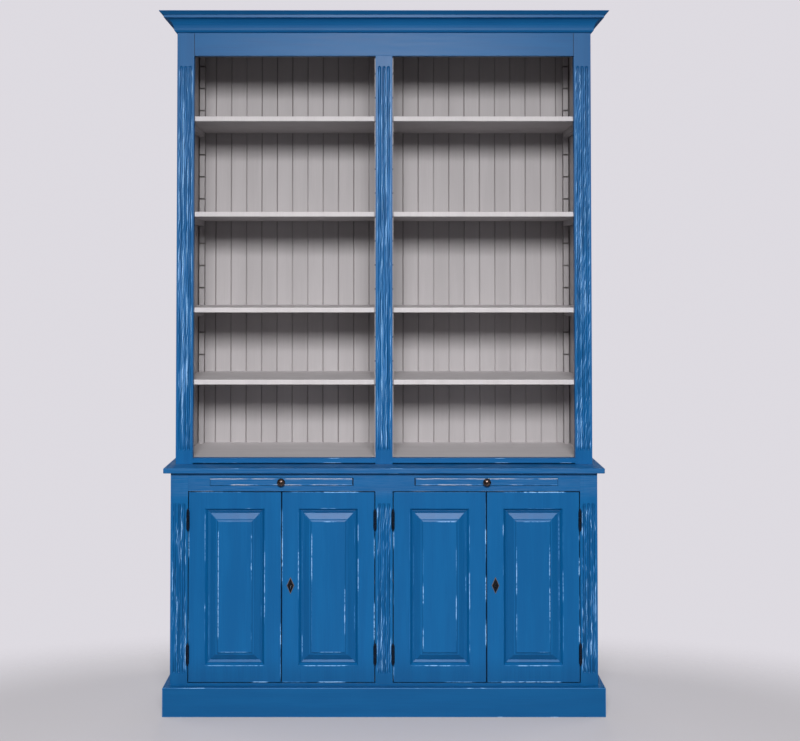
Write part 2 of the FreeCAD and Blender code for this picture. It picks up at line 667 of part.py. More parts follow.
def foot_bolt():
    """Round bolt with a small finger knob between the guides."""
    shaft = rod(FOOT_BOLT_R, FOOT_BOLT_L, V(FOOT_BOLT_X, FOOT_BOLT_Y, DOOR_Z), Z_AXIS)
    finger_z = FOOT_PLATE_LOW + FOOT_PLATE_H / 2
    finger = rod(FOOT_KNOB_R, FOOT_KNOB_L, V(FOOT_BOLT_X, FOOT_BOLT_Y, finger_z), Y_AXIS)
    return shaft.fuse(finger).removeSplitter()


# ---------------------------------------------------------------- hinges
def knuckle(low, high):
    return rod(BARREL_R, high - low, V(0, PIN_Y, low), Z_AXIS)


def hinge(z):
    """Frame leaf, door leaf and pin about local x = 0, the middle of the gap, with the door at +X."""
    low = z - BARREL_L / 2
    high = z + BARREL_L / 2
    split_low = low + (BARREL_L - KNUCKLE_L) / 2
    split_high = split_low + KNUCKLE_L
    half_gap = DOOR_GAP / 2
    inner = half_gap + LEAF_SEAT / 2
    flap = box(inner, inner + LEAF_T, PIN_Y, BASE_Y + LEAF_W, low, high)
    bore = rod(PIN_R + PIN_CLEAR, BARREL_L + 2 * CUT_PAST, V(0, PIN_Y, low - CUT_PAST), Z_AXIS)
    room = rod(BARREL_R + KNUCKLE_PLAY, KNUCKLE_L, V(0, PIN_Y, split_low), Z_AXIS)
    above = rod(BARREL_R + KNUCKLE_PLAY, BARREL_L, V(0, PIN_Y, split_high - KNUCKLE_PLAY), Z_AXIS)
    below = rod(BARREL_R + KNUCKLE_PLAY, BARREL_L, V(0, PIN_Y, split_low + KNUCKLE_PLAY - BARREL_L), Z_AXIS)
    door_leaf = flap.cut([above, below]).fuse(
        knuckle(split_low + KNUCKLE_PLAY, split_high - KNUCKLE_PLAY)).removeSplitter().cut(bore)
    frame_flap = mirrored(flap)
    frame_leaf = frame_flap.cut(room).fuse(
        [knuckle(low, split_low), knuckle(split_high, high)]).removeSplitter().cut(bore)
    return frame_leaf, door_leaf, hinge_pin(low, high)


def hinge_pin(low, high):
    """Pin with a pointed finial at each end."""
    shaft = rod(PIN_R, high - low, V(0, PIN_Y, low), Z_AXIS)
    solids = []
    for end, direction in ((high, 1), (low, -1)):
        way = Z_AXIS * direction
        neck = V(0, PIN_Y, end) + way * FINIAL_COLLAR_L
        bulb = neck + way * FINIAL_BULB_L
        solids.append(rod(FINIAL_COLLAR_R, FINIAL_COLLAR_L, V(0, PIN_Y, end), way))
        solids.append(Part.makeCone(FINIAL_NECK_R, FINIAL_BULB_R, FINIAL_BULB_L, neck, way))
        solids.append(Part.makeCone(FINIAL_BULB_R, FINIAL_TIP_R, FINIAL_L - FINIAL_COLLAR_L - FINIAL_BULB_L,
                                    bulb, way))
    return shaft.fuse(solids).removeSplitter()


def hinge_place(number, shape):
    """Move a hinge drawn about the gap's middle to a door's hinge edge."""
    if not hangs_left(number):
        shape = mirrored(shape)
    shape = shape.copy()
    half = DOOR_GAP / 2 if hangs_left(number) else -DOOR_GAP / 2
    shape.translate(V(door_edge(number) - half, 0, 0))
    return shape


# ---------------------------------------------------------------- upper case
def upper_floor():
    return box(-UPPER_IN_X, UPPER_IN_X, UPPER_IN_Y, BACK_FACE, UPPER_FLOOR_LOW, FLOOR_TOP)


def roof():
    return box(-UPPER_IN_X, UPPER_IN_X, UPPER_IN_Y, BACK_FACE, ROOF_BOTTOM, ROOF_BOTTOM + ROOF_T)


def shelf_low(place):
    """Underside of a shelf at a place."""
    return FLOOR_TOP + FIRST_PLACE_UP + place * RACK_PITCH


def rack(x0, x1, front, faces_back):
    """Batten with a slot across it at each place. faces_back is true where the slots face the back."""
    back = front + RACK_D
    batten = box(x0, x1, front, back, FLOOR_TOP, ROOF_BOTTOM)
    y0, y1 = (back - SLOT_DEEP, back + CUT_PAST) if faces_back else (front - CUT_PAST, front + SLOT_DEEP)
    count = 1 + int((ROOF_BOTTOM - shelf_low(0)) / RACK_PITCH)
    slots = []
    for place in range(count):
        low = shelf_low(place) - BEARER_LIP_T
        slots.append(box(x0 - CUT_PAST, x1 + CUT_PAST, y0, y1, low, low + SLOT_H))
    return batten.cut(slots)


def rack_sides():
    """Left and right face of the racks and bearers, beside the partition and beside each side panel."""
    return [sorted((side * near, side * (near + RACK_W))) for side in (-1, 1)
            for near in (PART_X + RACK_GAP, UPPER_IN_X - RACK_GAP - RACK_W)]


def racks():
    solids = []
    for x0, x1 in rack_sides():
        solids.append(rack(x0, x1, UPPER_IN_Y, True))
        solids.append(rack(x0, x1, BACK_FACE - RACK_D, False))
    return group(solids)


def bearer(x0, x1, place):
    """Shelf bearer between a front and a back rack, with a lip at each end that sits in their slots."""
    top = shelf_low(place)
    front = UPPER_IN_Y + RACK_D
    back = BACK_FACE - RACK_D
    tip = SLOT_DEEP - BEARER_PLAY
    bar = box(x0, x1, front + BEARER_PLAY, back - BEARER_PLAY, top - BEARER_H, top)
    return bar.fuse(box(x0, x1, front - tip, back + tip, top - BEARER_LIP_T, top)).removeSplitter()


def bearers():
    return group([bearer(x0, x1, place) for place in SHELF_PLACES for x0, x1 in rack_sides()])


def shelf(side, place):
    """Loose shelf, cut out at its corners to pass the racks."""
    x0, x1 = sorted((side * (PART_X + SHELF_PLAY), side * (UPPER_IN_X - SHELF_PLAY)))
    z = shelf_low(place)
    y0 = UPPER_IN_Y + SHELF_PLAY
    y1 = BACK_FACE - SHELF_PLAY
    board = box(x0, x1, y0, y1, z, z + SHELF_T)

    def front(edge):
        return edge_at(edge, "y", (y0,)) and (edge_at(edge, "z", (z,)) or edge_at(edge, "z", (z + SHELF_T,)))
    board = rounded(board, SHELF_FRONT_ROUND, front)
    corners = []
    reach = RACK_GAP + RACK_W + SHELF_PLAY
    deep = RACK_D + SHELF_PLAY
    low = z - CUT_PAST
    high = z + SHELF_T + CUT_PAST
    for near, far in ((PART_X - CUT_PAST, PART_X + reach), (UPPER_IN_X - reach, UPPER_IN_X + CUT_PAST)):
        corners.append(side_box(side, near, far, UPPER_IN_Y - CUT_PAST, UPPER_IN_Y + deep, low, high))
        corners.append(side_box(side, near, far, BACK_FACE - deep, BACK_FACE + CUT_PAST, low, high))
    return board.cut(corners)


# ---------------------------------------------------------------- cornice
def cornice_profile():
    """Outline of the moulding as (out, z) pairs, from its foot on the frieze round to the top."""
    cove_top = FRAME_TOP - CORNICE_FILLET_H
    run = CORNICE_FILLET_OUT - CORNICE_STEP - CORNICE_TOE_OUT
    rise = cove_top - CORNICE_Z - CORNICE_TOE_H
    points = [(0.0, CORNICE_Z), (CORNICE_TOE_ROUND_OUT, CORNICE_Z + CORNICE_TOE_ROUND_H)]
    for k in range(COVE_FACETS + 1):
        turn = math.radians(90.0 * k / COVE_FACETS)
        points.append((CORNICE_TOE_OUT + run * (1 - math.cos(turn)),
                       CORNICE_Z + CORNICE_TOE_H + rise * math.sin(turn)))
    points.append((CORNICE_FILLET_OUT, cove_top))
    points.append((CORNICE_FILLET_OUT, FRAME_TOP))
    points.append((CORNICE_FILLET_OUT + CORNICE_BEAD_STEP, FRAME_TOP))
    points.append((CORNICE_OUT - CORNICE_NOSE, FRAME_TOP + CORNICE_BEAD_SLOPE_H))
    points.append((CORNICE_OUT, FRAME_TOP + CORNICE_BEAD_SLOPE_H + CORNICE_NOSE_UP))
    points.append((CORNICE_OUT, TOTAL_HEIGHT))
    points.append((0.0, TOTAL_HEIGHT))
    return points


def cornice():
    """Front length and two returns, mitred at the front corners."""
    half = UPPER_WIDTH / 2
    far = 2 * CORNICE_OUT
    front = prism([V(-half - far, UPPER_Y - out, z) for out, z in cornice_profile()],
                  X_AXIS * (UPPER_WIDTH + 2 * far))
    side = prism([V(half + out, UPPER_Y - far, z) for out, z in cornice_profile()],
                 Y_AXIS * (BACK_Y - UPPER_Y + far))
    low = CORNICE_Z - CUT_PAST
    tall = Z_AXIS * (CORNICE_H + 2 * CUT_PAST)
    back = BACK_Y + CUT_PAST
    right_wedge = prism([V(half, UPPER_Y, low), V(half + far, UPPER_Y - far, low), V(half + far, back, low),
                         V(half, back, low)], tall)
    front_wedge = prism([V(-half, UPPER_Y, low), V(-half - far, UPPER_Y - far, low),
                         V(half + far, UPPER_Y - far, low), V(half, UPPER_Y, low)], tall)
    front = front.common(front_wedge)
    side = side.common(right_wedge)
    return group([front, mirrored(side), side])


# ---------------------------------------------------------------- build and write every node
def build_base():
    save("plinth", plinth())
    panel = side_panel(BASE_WIDTH / 2, BASE_IN_Y, 0, BASE_BODY_H)
    save("base_side_right", panel)
    save("base_side_left", mirrored(panel))
    save("base_floor", base_floor())
    save("base_partition", box(-PART_X, PART_X, BASE_IN_Y, BACK_FACE, BASE_RAIL_TOP, BASE_BODY_H))
    save("base_back_boards", back_boards(BASE_IN_X + REBATE_W, BASE_FLOOR_LOW, BASE_BODY_H))
    save("base_top", base_top())
    top_rail, bottom_rail = base_rails()
    save("base_top_rail", top_rail)
    save("base_bottom_rail", bottom_rail)
    outer = BASE_WIDTH / 2 - STILE_W / 2
    for name, way in (("right", 1), ("left", -1)):
        post = stile(way * outer, STILE_W, BASE_Y, 0, BASE_BODY_H, BASE_FLUTES)
        seats = [leaf_seat(way * BASE_OPEN_X, way, z) for z in hinge_centres()]
        save("base_stile_" + name, post.cut(seats))
    post = stile(0, CENTRE_STILE_W, BASE_Y, BASE_RAIL_TOP, DOOR_TOP_Z, BASE_FLUTES)
    seats = [leaf_seat(way * CENTRE_X, -way, z) for z in hinge_centres() for way in (-1, 1)]
    save("base_stile_centre", post.cut(seats))
    save("slide_runners", runners())
    save("door_stops", stop_battens())
    shelves, cleats = base_shelves()
    save("base_shelves", shelves)
    save("base_shelf_bearers", cleats)


def build_slides():
    for name, side in (("left", -1), ("right", 1)):
        save("slide_board_" + name, slide_board(side))
        save("slide_knob_" + name, knob(side))


def build_doors():
    left, right, low_rail, high_rail = door_frame()
    hinge_side = left.cut([leaf_seat(0, 1, z) for z in hinge_centres()])
    case = case_box()
    lock_cuts = [box(case[0], case[1] + CUT_PAST, case[2], case[3] + CUT_PAST, case[4], case[5]),
                 keyhole(BASE_Y - CUT_PAST, DOOR_BACK)]
    for number in (1, 2, 3, 4):
        meeting = right.cut(strike_cutter()) if hangs_left(number) else right.cut(lock_cuts)
        frame = group([hinge_side, meeting, low_rail, high_rail])
        save("door_%d_frame" % number, place(number, frame))
        save("door_%d_panel" % number, place(number, door_panel()))
        if hangs_left(number):
            save("door_%d_foot_guide" % number, place(number, foot_guide()))
            save("door_%d_foot_bolt" % number, place(number, foot_bolt()))
        else:
            save("door_%d_escutcheon" % number, place(number, escutcheon()))
            save("door_%d_lock_case" % number, place(number, lock_case()))
            save("door_%d_lock_bolt" % number, place(number, lock_bolt()))


def build_hinges():
    frame_leaves = []
    pins = []
    for number in (1, 2, 3, 4):
        door_leaves = []
        for z in hinge_centres():
            frame_leaf, door_leaf, pin = hinge(z)
            frame_leaves.append(hinge_place(number, frame_leaf))
            door_leaves.append(hinge_place(number, door_leaf))
            pins.append(hinge_place(number, pin))
        save("door_%d_hinge_leaves" % number, group(door_leaves))
    save("hinge_frame_leaves", group(frame_leaves))
    save("hinge_pins", group(pins))


def build_upper():
    panel = side_panel(UPPER_WIDTH / 2, UPPER_IN_Y, BASE_H, FRAME_TOP)
    save("upper_side_right", panel)
    save("upper_side_left", mirrored(panel))
    save("upper_partition", box(-PART_X, PART_X, UPPER_IN_Y, BACK_FACE, FLOOR_TOP, ROOF_BOTTOM))
    save("upper_floor", upper_floor())
    save("upper_roof", roof())
    save("upper_back_boards", back_boards(UPPER_IN_X + REBATE_W, UPPER_FLOOR_LOW, ROOF_BOTTOM + ROOF_T))
    outer = UPPER_WIDTH / 2 - STILE_W / 2
    for name, way in (("right", 1), ("left", -1)):
        save("upper_stile_" + name, stile(way * outer, STILE_W, UPPER_Y, BASE_H, FRAME_TOP, UPPER_FLUTES))
    save("upper_stile_centre", stile(0, CENTRE_STILE_W, UPPER_Y, BASE_H, FRIEZE_BOTTOM, UPPER_FLUTES))
    save("upper_frieze", box(-UPPER_OPEN_X, UPPER_OPEN_X, UPPER_Y, UPPER_IN_Y, FRIEZE_BOTTOM, FRAME_TOP))
    rails = [side_box(side, CENTRE_X, UPPER_OPEN_X, UPPER_Y, UPPER_IN_Y, FLOOR_TOP - UPPER_RAIL_H, FLOOR_TOP)
             for side in (-1, 1)]
    save("upper_bottom_rails", group(rails))
    save("cornice", cornice())


def build_shelving():
    save("shelf_racks", racks())
    save("shelf_bearers", bearers())
    for name, side in (("left", -1), ("right", 1)):
        save("shelves_" + name, group([shelf(side, place) for place in SHELF_PLACES]))


build_base()
build_slides()
build_doors()
build_hinges()
build_upper()
build_shelving()
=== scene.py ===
import math

import bpy
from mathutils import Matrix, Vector


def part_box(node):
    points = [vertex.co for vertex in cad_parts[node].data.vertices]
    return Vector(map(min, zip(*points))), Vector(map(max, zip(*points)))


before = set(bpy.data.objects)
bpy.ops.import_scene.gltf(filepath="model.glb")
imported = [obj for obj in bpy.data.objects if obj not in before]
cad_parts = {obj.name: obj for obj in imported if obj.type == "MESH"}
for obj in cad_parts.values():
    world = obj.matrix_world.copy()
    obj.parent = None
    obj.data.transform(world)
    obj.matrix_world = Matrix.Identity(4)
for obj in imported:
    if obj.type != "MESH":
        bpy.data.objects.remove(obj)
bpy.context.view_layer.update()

# The look of a painted bookcase that stands on a cupboard. Every form is the frame's own: this script gives
# each node its paint, wood or metal, and adds the floor, the backdrop, the lamps and the camera.
# Metres. X runs to the right, the front faces -Y and Z is up. Each finish is worked out from the place on the
# object, so that it stays on its piece in every pose.

# ---------------------------------------------------------------- picture
IMAGE_W = 800  # the photograph's frame in pixels
IMAGE_H = 741
FOCAL_PX = 1136.3  # fitted to the cabinet's edges in the photograph, as the four below the sensor are
SENSOR_MM = 36.0
CENTRE_COL = 384.0  # column and row of the picture where the camera's axis meets it
CENTRE_ROW = 246.4
CAMERA_AT = Vector((0.0, -3.755, 1.368))
CAMERA_PITCH = 0.024  # upwards, in radians
CAMERA_REACH = 60.0

# ---------------------------------------------------------------- light
LAMP_COLOUR = (1.0, 0.985, 0.985)
KEY_AT = Vector((0.0, -4.5, 2.77))
KEY_AIM = Vector((0.0, -1.4, 0.2))
KEY_SIZE = (1.7, 1.0)
KEY_SPREAD = math.radians(116)
KEY_WATTS = 104.0
SIDE_AT = Vector((3.6, 0.9, 2.0))  # this lamp and its mirror image light only the sides
SIDE_WATTS = 50.0
BACK_AT = Vector((0.0, 4.2, 2.2))  # lights only the back
BACK_WATTS = 50.0
SOFT_AIM = Vector((0.0, 0.0, 1.0))  # where the side and back lamps point
SOFT_SIZE = (2.2, 2.2)
SOFT_SPREAD = math.pi
WORLD_TINT = (0.98, 0.98, 1.0)
FILL_STRENGTH = 0.145
GLOSS_STRENGTH = 0.05  # what glossy surfaces see of the world
BACKDROP = (0.727, 0.705, 0.752)
FLOOR_COLOUR = (0.38, 0.37, 0.385)
FLOOR_ROUGHNESS = 0.6
FLOOR_SPECULAR = 0.2
FLOOR_GLOW = 0.25  # lifts the floor towards the backdrop in the picture only
FLOOR_Z = -0.0005
FLOOR_MIDDLE_Y = -0.35
FLOOR_REACH = (2.3, 1.05)  # half-sizes of the oval floor
FLOOR_FADE = (0.55, 0.99)  # shares of the oval between which it fades into the backdrop
FLOOR_CORNERS = 96

# ---------------------------------------------------------------- measures of the joinery
FLUTE_PITCH = 0.014
FLUTE_HALF = 0.00475
FLUTES_HALF = 0.021  # from the middle of a stile to the far side of its last land
UPPER_FLUTE_ENDS = (0.042, 0.033)  # from the cupboard's top up, and from the frieze down
BASE_FLUTE_ENDS = (0.029, 0.038)  # from the bottom rail up, and from the top rail down
TOP_RAIL_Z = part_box("base_top_rail")[0].z
UPPER_FLUTES_Z = (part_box("base_top")[1].z + UPPER_FLUTE_ENDS[0],
                  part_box("upper_frieze")[0].z - UPPER_FLUTE_ENDS[1])
BASE_FLUTES_Z = (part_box("base_bottom_rail")[1].z + BASE_FLUTE_ENDS[0], TOP_RAIL_Z - BASE_FLUTE_ENDS[1])
CORNICE_FILLET_H = 0.009
CORNICE_FILLET_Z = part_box("upper_frieze")[1].z - CORNICE_FILLET_H  # its underside, over the cove
DOOR_FRAME_W = 0.052
MARGIN_INSET = 0.063  # from a door's outline to where its panel's bevel starts
FIELD_INSET = 0.093  # from a door's outline to its panel's field
ARRIS = 0.0012  # rounding of the painted arrises
ARRIS_SAMPLES = 6
SLIDE_THICK = 0.022
LOCKED_DOORS = (2, 4)
KEYHOLE_REACH = 0.013  # no part of a keyhole is further from the middle of its plate
RACK_PITCH = 0.0768
RACK_SLOT_HALF = 0.0025
SLOT_UNDER_SHELF = 0.001  # from the underside of a shelf down to the middle of the slot that carries it
RACK_SLOT_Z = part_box("shelves_left")[0].z - SLOT_UNDER_SHELF  # the lowest slot
BOARD_PITCH = 0.0534
FIRST_JOINT = 0.066  # from the left end of a bay's back boards to the first joint between them

# ---------------------------------------------------------------- colours
BLUE = (0.0018, 0.120, 0.335)
BLUE_DEEP = (0.0014, 0.104, 0.300)
BLUE_THIN = (0.050, 0.240, 0.560)  # where the blue is rubbed thin, and in painted highlights
UNDERCOAT = (0.31, 0.57, 0.91)
CHALK = (0.50, 0.53, 0.62)  # undercoat of the pull-out boards and the rail round them
PAINTED_SHEEN = (0.46, 0.53, 0.68)  # pale colour of painted sheen and painted highlights
SHADOW_BLUE = (0.0004, 0.018, 0.055)  # painted shade: mixed in for hollows, open joints, gaps, keyholes, sloping faces and the foot
GREY = (0.490, 0.469, 0.480)
GREY_DEEP = (0.450, 0.430, 0.440)
SHELF_GREY = (0.670, 0.645, 0.655)
SHELF_GREY_DEEP = (0.620, 0.595, 0.605)
# dark of grime, also mixed in as painted shade
GRIME_AND_SHADE = (0.085, 0.070, 0.062)
PINE = (0.52, 0.36, 0.20)
PINE_DEEP = (0.36, 0.22, 0.11)
SHADED_PINE = (0.055, 0.036, 0.022)  # painted shade: pine as dark as it looks deep in a gap
SHADED_PINE_DEEP = (0.032, 0.021, 0.013)
# metals: base, then what wear, paint or stains make of it
IRON = (0.003, 0.005, 0.011)
IRON_WORN = (0.014, 0.011, 0.010)
IRON_PAINTED = (0.006, 0.020, 0.055)  # traces of the cabinet's blue
IRON_RIM = (0.230, 0.170, 0.140)
BRONZE = (0.042, 0.030, 0.026)
BRONZE_RUBBED = (0.230, 0.160, 0.135)
STEEL = (0.44, 0.44, 0.45)
STEEL_STAINED = (0.30, 0.28, 0.26)

# ---------------------------------------------------------------- paint
# Strokes and clouds of tone, as features for each metre across and along the brush, and the clouds' share.
BLUE_BRUSH = ((420.0, 9.0), (26.0, 2.5), 0.55)
GREY_BRUSH = ((380.0, 7.0), (18.0, 2.0), 0.60)
BLUE_TONES = (0.38, 0.62)  # values of that noise that give the deep and the light colour
GREY_TONES = (0.36, 0.64)
STROKE_SPAN = (0.3, 0.7)  # values of the strokes' noise that give the least and the most roughness
STROKE_RELIEF = 0.00006
COAT_THICK = 0.00012  # of the blue, beside the places where it is rubbed off
BLUE_ROUGHNESS = (0.375, 0.435)
RUBBED_ROUGHER = 0.18
RUBBED_THIN = (0.02, 0.55)  # values of the mask of wear and painted highlight that turn the blue from whole to thin
RUBBED_OFF = (0.30, 0.90)  # values of it that turn the blue from thin to gone
THIN_MUCH = 0.75
SPECKLE = (900, 900, 260)  # the fine grain of what is left of it
GREY_ROUGHNESS = (0.50, 0.62)
BLUE_SPECULAR = 0.25
MATT_SPECULAR = 0.3  # grey paint and bare wood
CLOUD_SEED_BLUE = 11
CLOUD_SEED_GREY = 7
FOOT_Z = (0.11, 0.19)  # painted shade: the blue grows a little darker from the second height down to the first
FOOT_SHADE = 0.20
# Painted sheen: pale streaks on the cupboard's top, its top rail and the pull-out boards.
SHEEN_SHARE = 0.034
SHEEN_RISE = 0.03  # height over which the painted sheen sets in, below the cupboard's top rail
SHEEN_STROKES = (14, 14, 600)
# strength of the painted shade and highlight on the door panels' sloping faces
PANEL_SLOPE_SHADING = 0.16
STEEP = (0.12, 0.30)  # how far a face turns from the front before it counts as sloping
UNDER_SLOPES = 1.8  # how much more painted shade a slope that faces down gets than one that faces sideways
UPPER_SLOPES = 0.12  # how much painted highlight one that faces up gets for it
ROUGHER = {"cornice": 0.10, "upper_frieze": 0.03}  # below the cornice's fillet
UNDERSIDE = (-0.5, -0.9)  # how far a face turns down before it counts as an underside
# how much painted shade an underside gets
UNDERSIDE_SHADE = 0.35
BOARD_TONES = 0.07  # how much grime may set one back board off from the next

# ---------------------------------------------------------------- wood and metal
RING_GRAIN = (90.0, 3.0)  # features for each metre across and along the grain
RING_BANDS = 7.0
PORE_GRAIN = (900.0, 25.0)
PORE_DEPTH = 0.00008
PINE_ROUGHNESS = (0.6, 0.75)
PIT_DEPTH = 0.00015
IRON_ROUGHNESS = (0.42, 0.60)
IRON_METALLIC = 0.3  # iron under lacquer
IRON_SPECULAR = 0.22
SCRATCH_DEPTH = 0.00006
BRONZE_ROUGHNESS = (0.26, 0.38)
BRONZE_METALLIC = 0.9  # bronze under its patina
BRUSHED_DEPTH = 0.00005
STEEL_ROUGHNESS = (0.28, 0.48)

# ---------------------------------------------------------------- wear, grime, painted shade and painted highlights
FIRST_SEED = 3.0  # each node has its own seed
SEED_STEP = 1.37
SEED_MOVES = (1.0, 1.7, 2.3)  # how far a seed moves noise along x, y and z
NOISE_SPREAD = 0.5  # noise keeps to about this much of the range from 0 to 1
LINE_CORE = 0.35  # share of a line's half-width that has its full strength
FACE = 0.0012  # how deep wear on a front face goes
FACE_FADE = (0.0006, 0.0002)  # a face's own colour sets in between these distances from it
STREAK_WAVER = 0.012  # how far the streaks on a stile wander sideways
STREAK_EDGE = 0.62  # the noise above which paint would be rubbed if the cover were 0
STREAK_COVER = 0.10  # how much a cover of 1 lowers that edge
STREAK_SOFT = 0.12
STREAK_MUCH = 0.85
STREAK_RUNS = 0.35  # how unevenly the streaks are spread over a stile
FAINT_SPAN = (0.50, 0.60)  # values of the noise between which the fainter streaks appear
IN_FLUTE = 0.55  # share of the wear that reaches the middle of a flute
BESIDE_FLUTES = 0.12  # share of it that reaches past the last land
STREAK_ENDS = (0.010, 0.012)  # from the flutes' lower and upper ends to those of the streaks
STREAK_ENDS_SOFT = 0.012
FLUTE_SHADE_ENDS = 0.005
FLUTE_SHADE = (0.05, 0.42)  # the least and the most
JOINT_SHADE = (0.0022, 0.0012)  # from a rail's end to where the painted shade of its joint begins and is full
GAP_SHADE = (0.0018, 0.0008)  # the same for a door's arris, from its outline
GAP_SHADE_DEPTH = 0.004  # how far back the arris beside a door's gap is shaded
GAP_SHADE_SOFT = 0.003
RIM_SPAN = (0.82, 0.94)  # shares of a diamond plate's half-sizes between which its rim begins
SLOT_FADE = (0.0008, 0.0002)  # from the edge of a rack's slot to where its painted shade begins and is full
# painted shade in the racks' slots and on their sides
SLOT_SHADE = 0.75
RACK_SIDE_SHADE = 0.45
GROOVE_SHADE_AND_GRIME = (0.10, 0.50)  # painted shade and grime in the grooves of the back boards: the least and the most
BACK_JOINT_DARKNESS = 0.8  # how much darker the joints behind the cabinet are
EDGE_RUB_DEPTH = 0.003  # how far behind a door's front its frame is rubbed
PANEL_RUB_DEPTH = 0.0115  # and its panel
EDGE_INSET = 0.0014  # from a door's outline in to the line where its edge is rubbed
OPENING_INSET = DOOR_FRAME_W - 0.0004
RUB_INSETS = {"edge": EDGE_INSET, "opening": OPENING_INSET, "margin": MARGIN_INSET, "field": FIELD_INSET}
RUB_WIDTHS = {"edge": 0.0023, "opening": 0.0018, "margin": 0.0018, "field": 0.0018}
RUB_WANDER = 0.0010
RUB_SOFT = 0.010  # how gently a rubbed stretch begins and ends
TRACE_WIDTH = 0.0016
TRACE_WANDER = 0.0008
TRACE_MUCH = 0.14
SLIDE_LINE_IN = 0.0018  # from an edge of a pull-out board's front to the pale line along it
SLIDE_WANDER = 0.003
RAIL_LINE_WIDTH = 0.0015
RAIL_WANDER = 0.001

# How the stiles are rubbed: streaks for each metre along x, y and z, how much of the surface they cover, how
# strong the fainter ones are, and how far all drift sideways for each metre up.
STILE_STREAKS = {
    "upper_stile_left": ((430, 0, 9), 1.25, 0.46, 0.02),
    "upper_stile_centre": ((430, 0, 9), 1.25, 0.46, 0.02),
    "upper_stile_right": ((430, 0, 15), 1.25, 0.46, 0.14),
    "base_stile_left": ((420, 0, 17), 0.92, 0.20, 0.0),
    "base_stile_centre": ((420, 0, 17), 0.92, 0.20, 0.06),
    "base_stile_right": ((420, 0, 17), 0.92, 0.20, 0.0),
}

# How the arrises of boards are rubbed: the share that is, how wide, and the least rubbing anywhere, which
# draws a painted highlight all along the arris.
ARRIS_RUBS_AND_HIGHLIGHTS = {
    # a painted highlight all along the plinth's top arris
    "plinth": (0.22, 0.0020, 0.38),
    "base_top": (0.26, 0.0016, 0.0),
    "upper_bottom_rails": (0.26, 0.0016, 0.0),
    "cornice": (0.16, 0.0016, 0.0),
}

# Where the photograph shows each door rubbed: along which line and side, from and to in mm of x or z, and
# how much. Along the bottoms of the openings, where the sticking faces up, the marks are partly painted
# highlight. The places were read one by one.
DOOR_RUBS_AND_HIGHLIGHTS = {
    1: {
        "edge": {
            "left": ((226, 289, 0.35), (485, 563, 0.6)),
            "right": ((112, 177, 0.4), (205, 279, 0.7), (402, 634, 0.3)),
            "top": ((-588, -441, 0.4),),
            "bottom": ((-409, -361, 0.8),),
        },
        "opening": {
            "left": ((226, 297, 0.3), (318, 340, 0.8), (473, 619, 0.6)),
            "right": ((279, 544, 0.35), (297, 507, 0.8)),
            "top": ((-432, -412, 0.7),),
            # partly painted highlight, where the sticking faces up
            "bottom": ((-556, -375, 0.6),),
        },
        "margin": {
            "left": ((177, 368, 0.3),),
            "right": ((297, 337, 0.35),),
        },
        "field": {
            "left": ((235, 566, 0.9),),
            "right": ((226, 254, 0.4), (411, 535, 0.4), (445, 467, 1.0), (538, 557, 0.8)),
            "top": ((-500, -470, 0.3),),
            "bottom": ((-511, -424, 0.6),),
        },
    },
    2: {
        "edge": {
            "left": ((402, 634, 0.5), (455, 545, 1.0)),
            "right": ((230, 346, 0.8), (482, 544, 0.7)),
            "top": ((-294, -194, 0.4), (-191, -78, 0.7)),
            "bottom": ((-316, -241, 0.4), (-203, -122, 0.9)),
        },
        "opening": {
            "left": ((356, 634, 0.3), (380, 508, 0.9)),
            "right": ((195, 380, 0.25), (380, 482, 0.9), (532, 588, 0.8)),
            "top": ((-199, -145, 0.6),),
            # partly painted highlight, where the sticking faces up
            "bottom": ((-250, -113, 0.7),),
        },
        "margin": {
            "left": ((180, 245, 0.6), (411, 535, 0.25)),
            "right": ((254, 334, 0.4), (520, 585, 0.3)),
        },
        "field": {
            "left": ((202, 411, 0.3), (411, 557, 0.9)),
            "right": ((245, 393, 0.6), (279, 337, 1.0)),
            "top": ((-188, -150, 0.7),),
            "bottom": ((-203, -131, 0.6),),
        },
    },
    3: {
        "edge": {
            "left": ((112, 152, 0.5), (334, 368, 0.3), (513, 566, 0.7)),
            "right": ((211, 289, 0.8), (349, 427, 0.8), (473, 526, 0.4), (526, 572, 1.0), (572, 658, 0.3)),
            "top": ((32, 300, 0.25),),
            "bottom": ((188, 282, 0.5),),
        },
        "opening": {
            "left": ((195, 289, 0.25), (473, 625, 0.3)),
            "right": ((190, 217, 0.6), (226, 323, 0.35), (323, 439, 0.9), (500, 585, 0.5)),
            # partly painted highlight, where the sticking faces up
            "bottom": ((90, 269, 0.4), (119, 210, 0.8)),
        },
        "margin": {
            "left": ((195, 349, 0.2), (396, 520, 0.3)),
            "right": ((374, 427, 0.5), (504, 566, 0.2)),
        },
        "field": {
            "left": ((199, 266, 0.8), (340, 402, 0.9), (427, 510, 0.35)),
            "right": ((226, 291, 0.25), (291, 365, 1.0), (427, 520, 0.5)),
            "top": ((166, 224, 0.8),),
        },
    },
    4: {
        "edge": {
            "right": ((220, 273, 0.9), (319, 365, 0.4), (427, 482, 0.8), (535, 557, 0.5)),
            "top": ((373, 433, 0.4), (433, 564, 0.9)),
            "bottom": ((322, 360, 0.4), (360, 549, 0.8)),
        },
        "opening": {
            "left": ((226, 349, 0.2), (427, 464, 0.4), (551, 588, 0.8)),
            "right": ((195, 303, 0.4), (349, 442, 0.6), (504, 582, 0.3)),
            "top": ((445, 530, 0.4),),
            # partly painted highlight, where the sticking faces up
            "bottom": ((375, 555, 0.35), (411, 517, 0.9)),
        },
        "margin": {
            "right": ((195, 289, 0.3), (334, 411, 0.5), (473, 613, 0.45)),
        },
        "field": {
            "left": ((232, 310, 0.7), (371, 473, 0.9), (473, 520, 0.5)),
            "right": ((220, 288, 0.4), (288, 390, 0.9), (417, 504, 0.8), (504, 523, 0.6)),
            "top": ((433, 518, 0.5),),
            "bottom": ((480, 511, 0.5),),
        },
    },
}


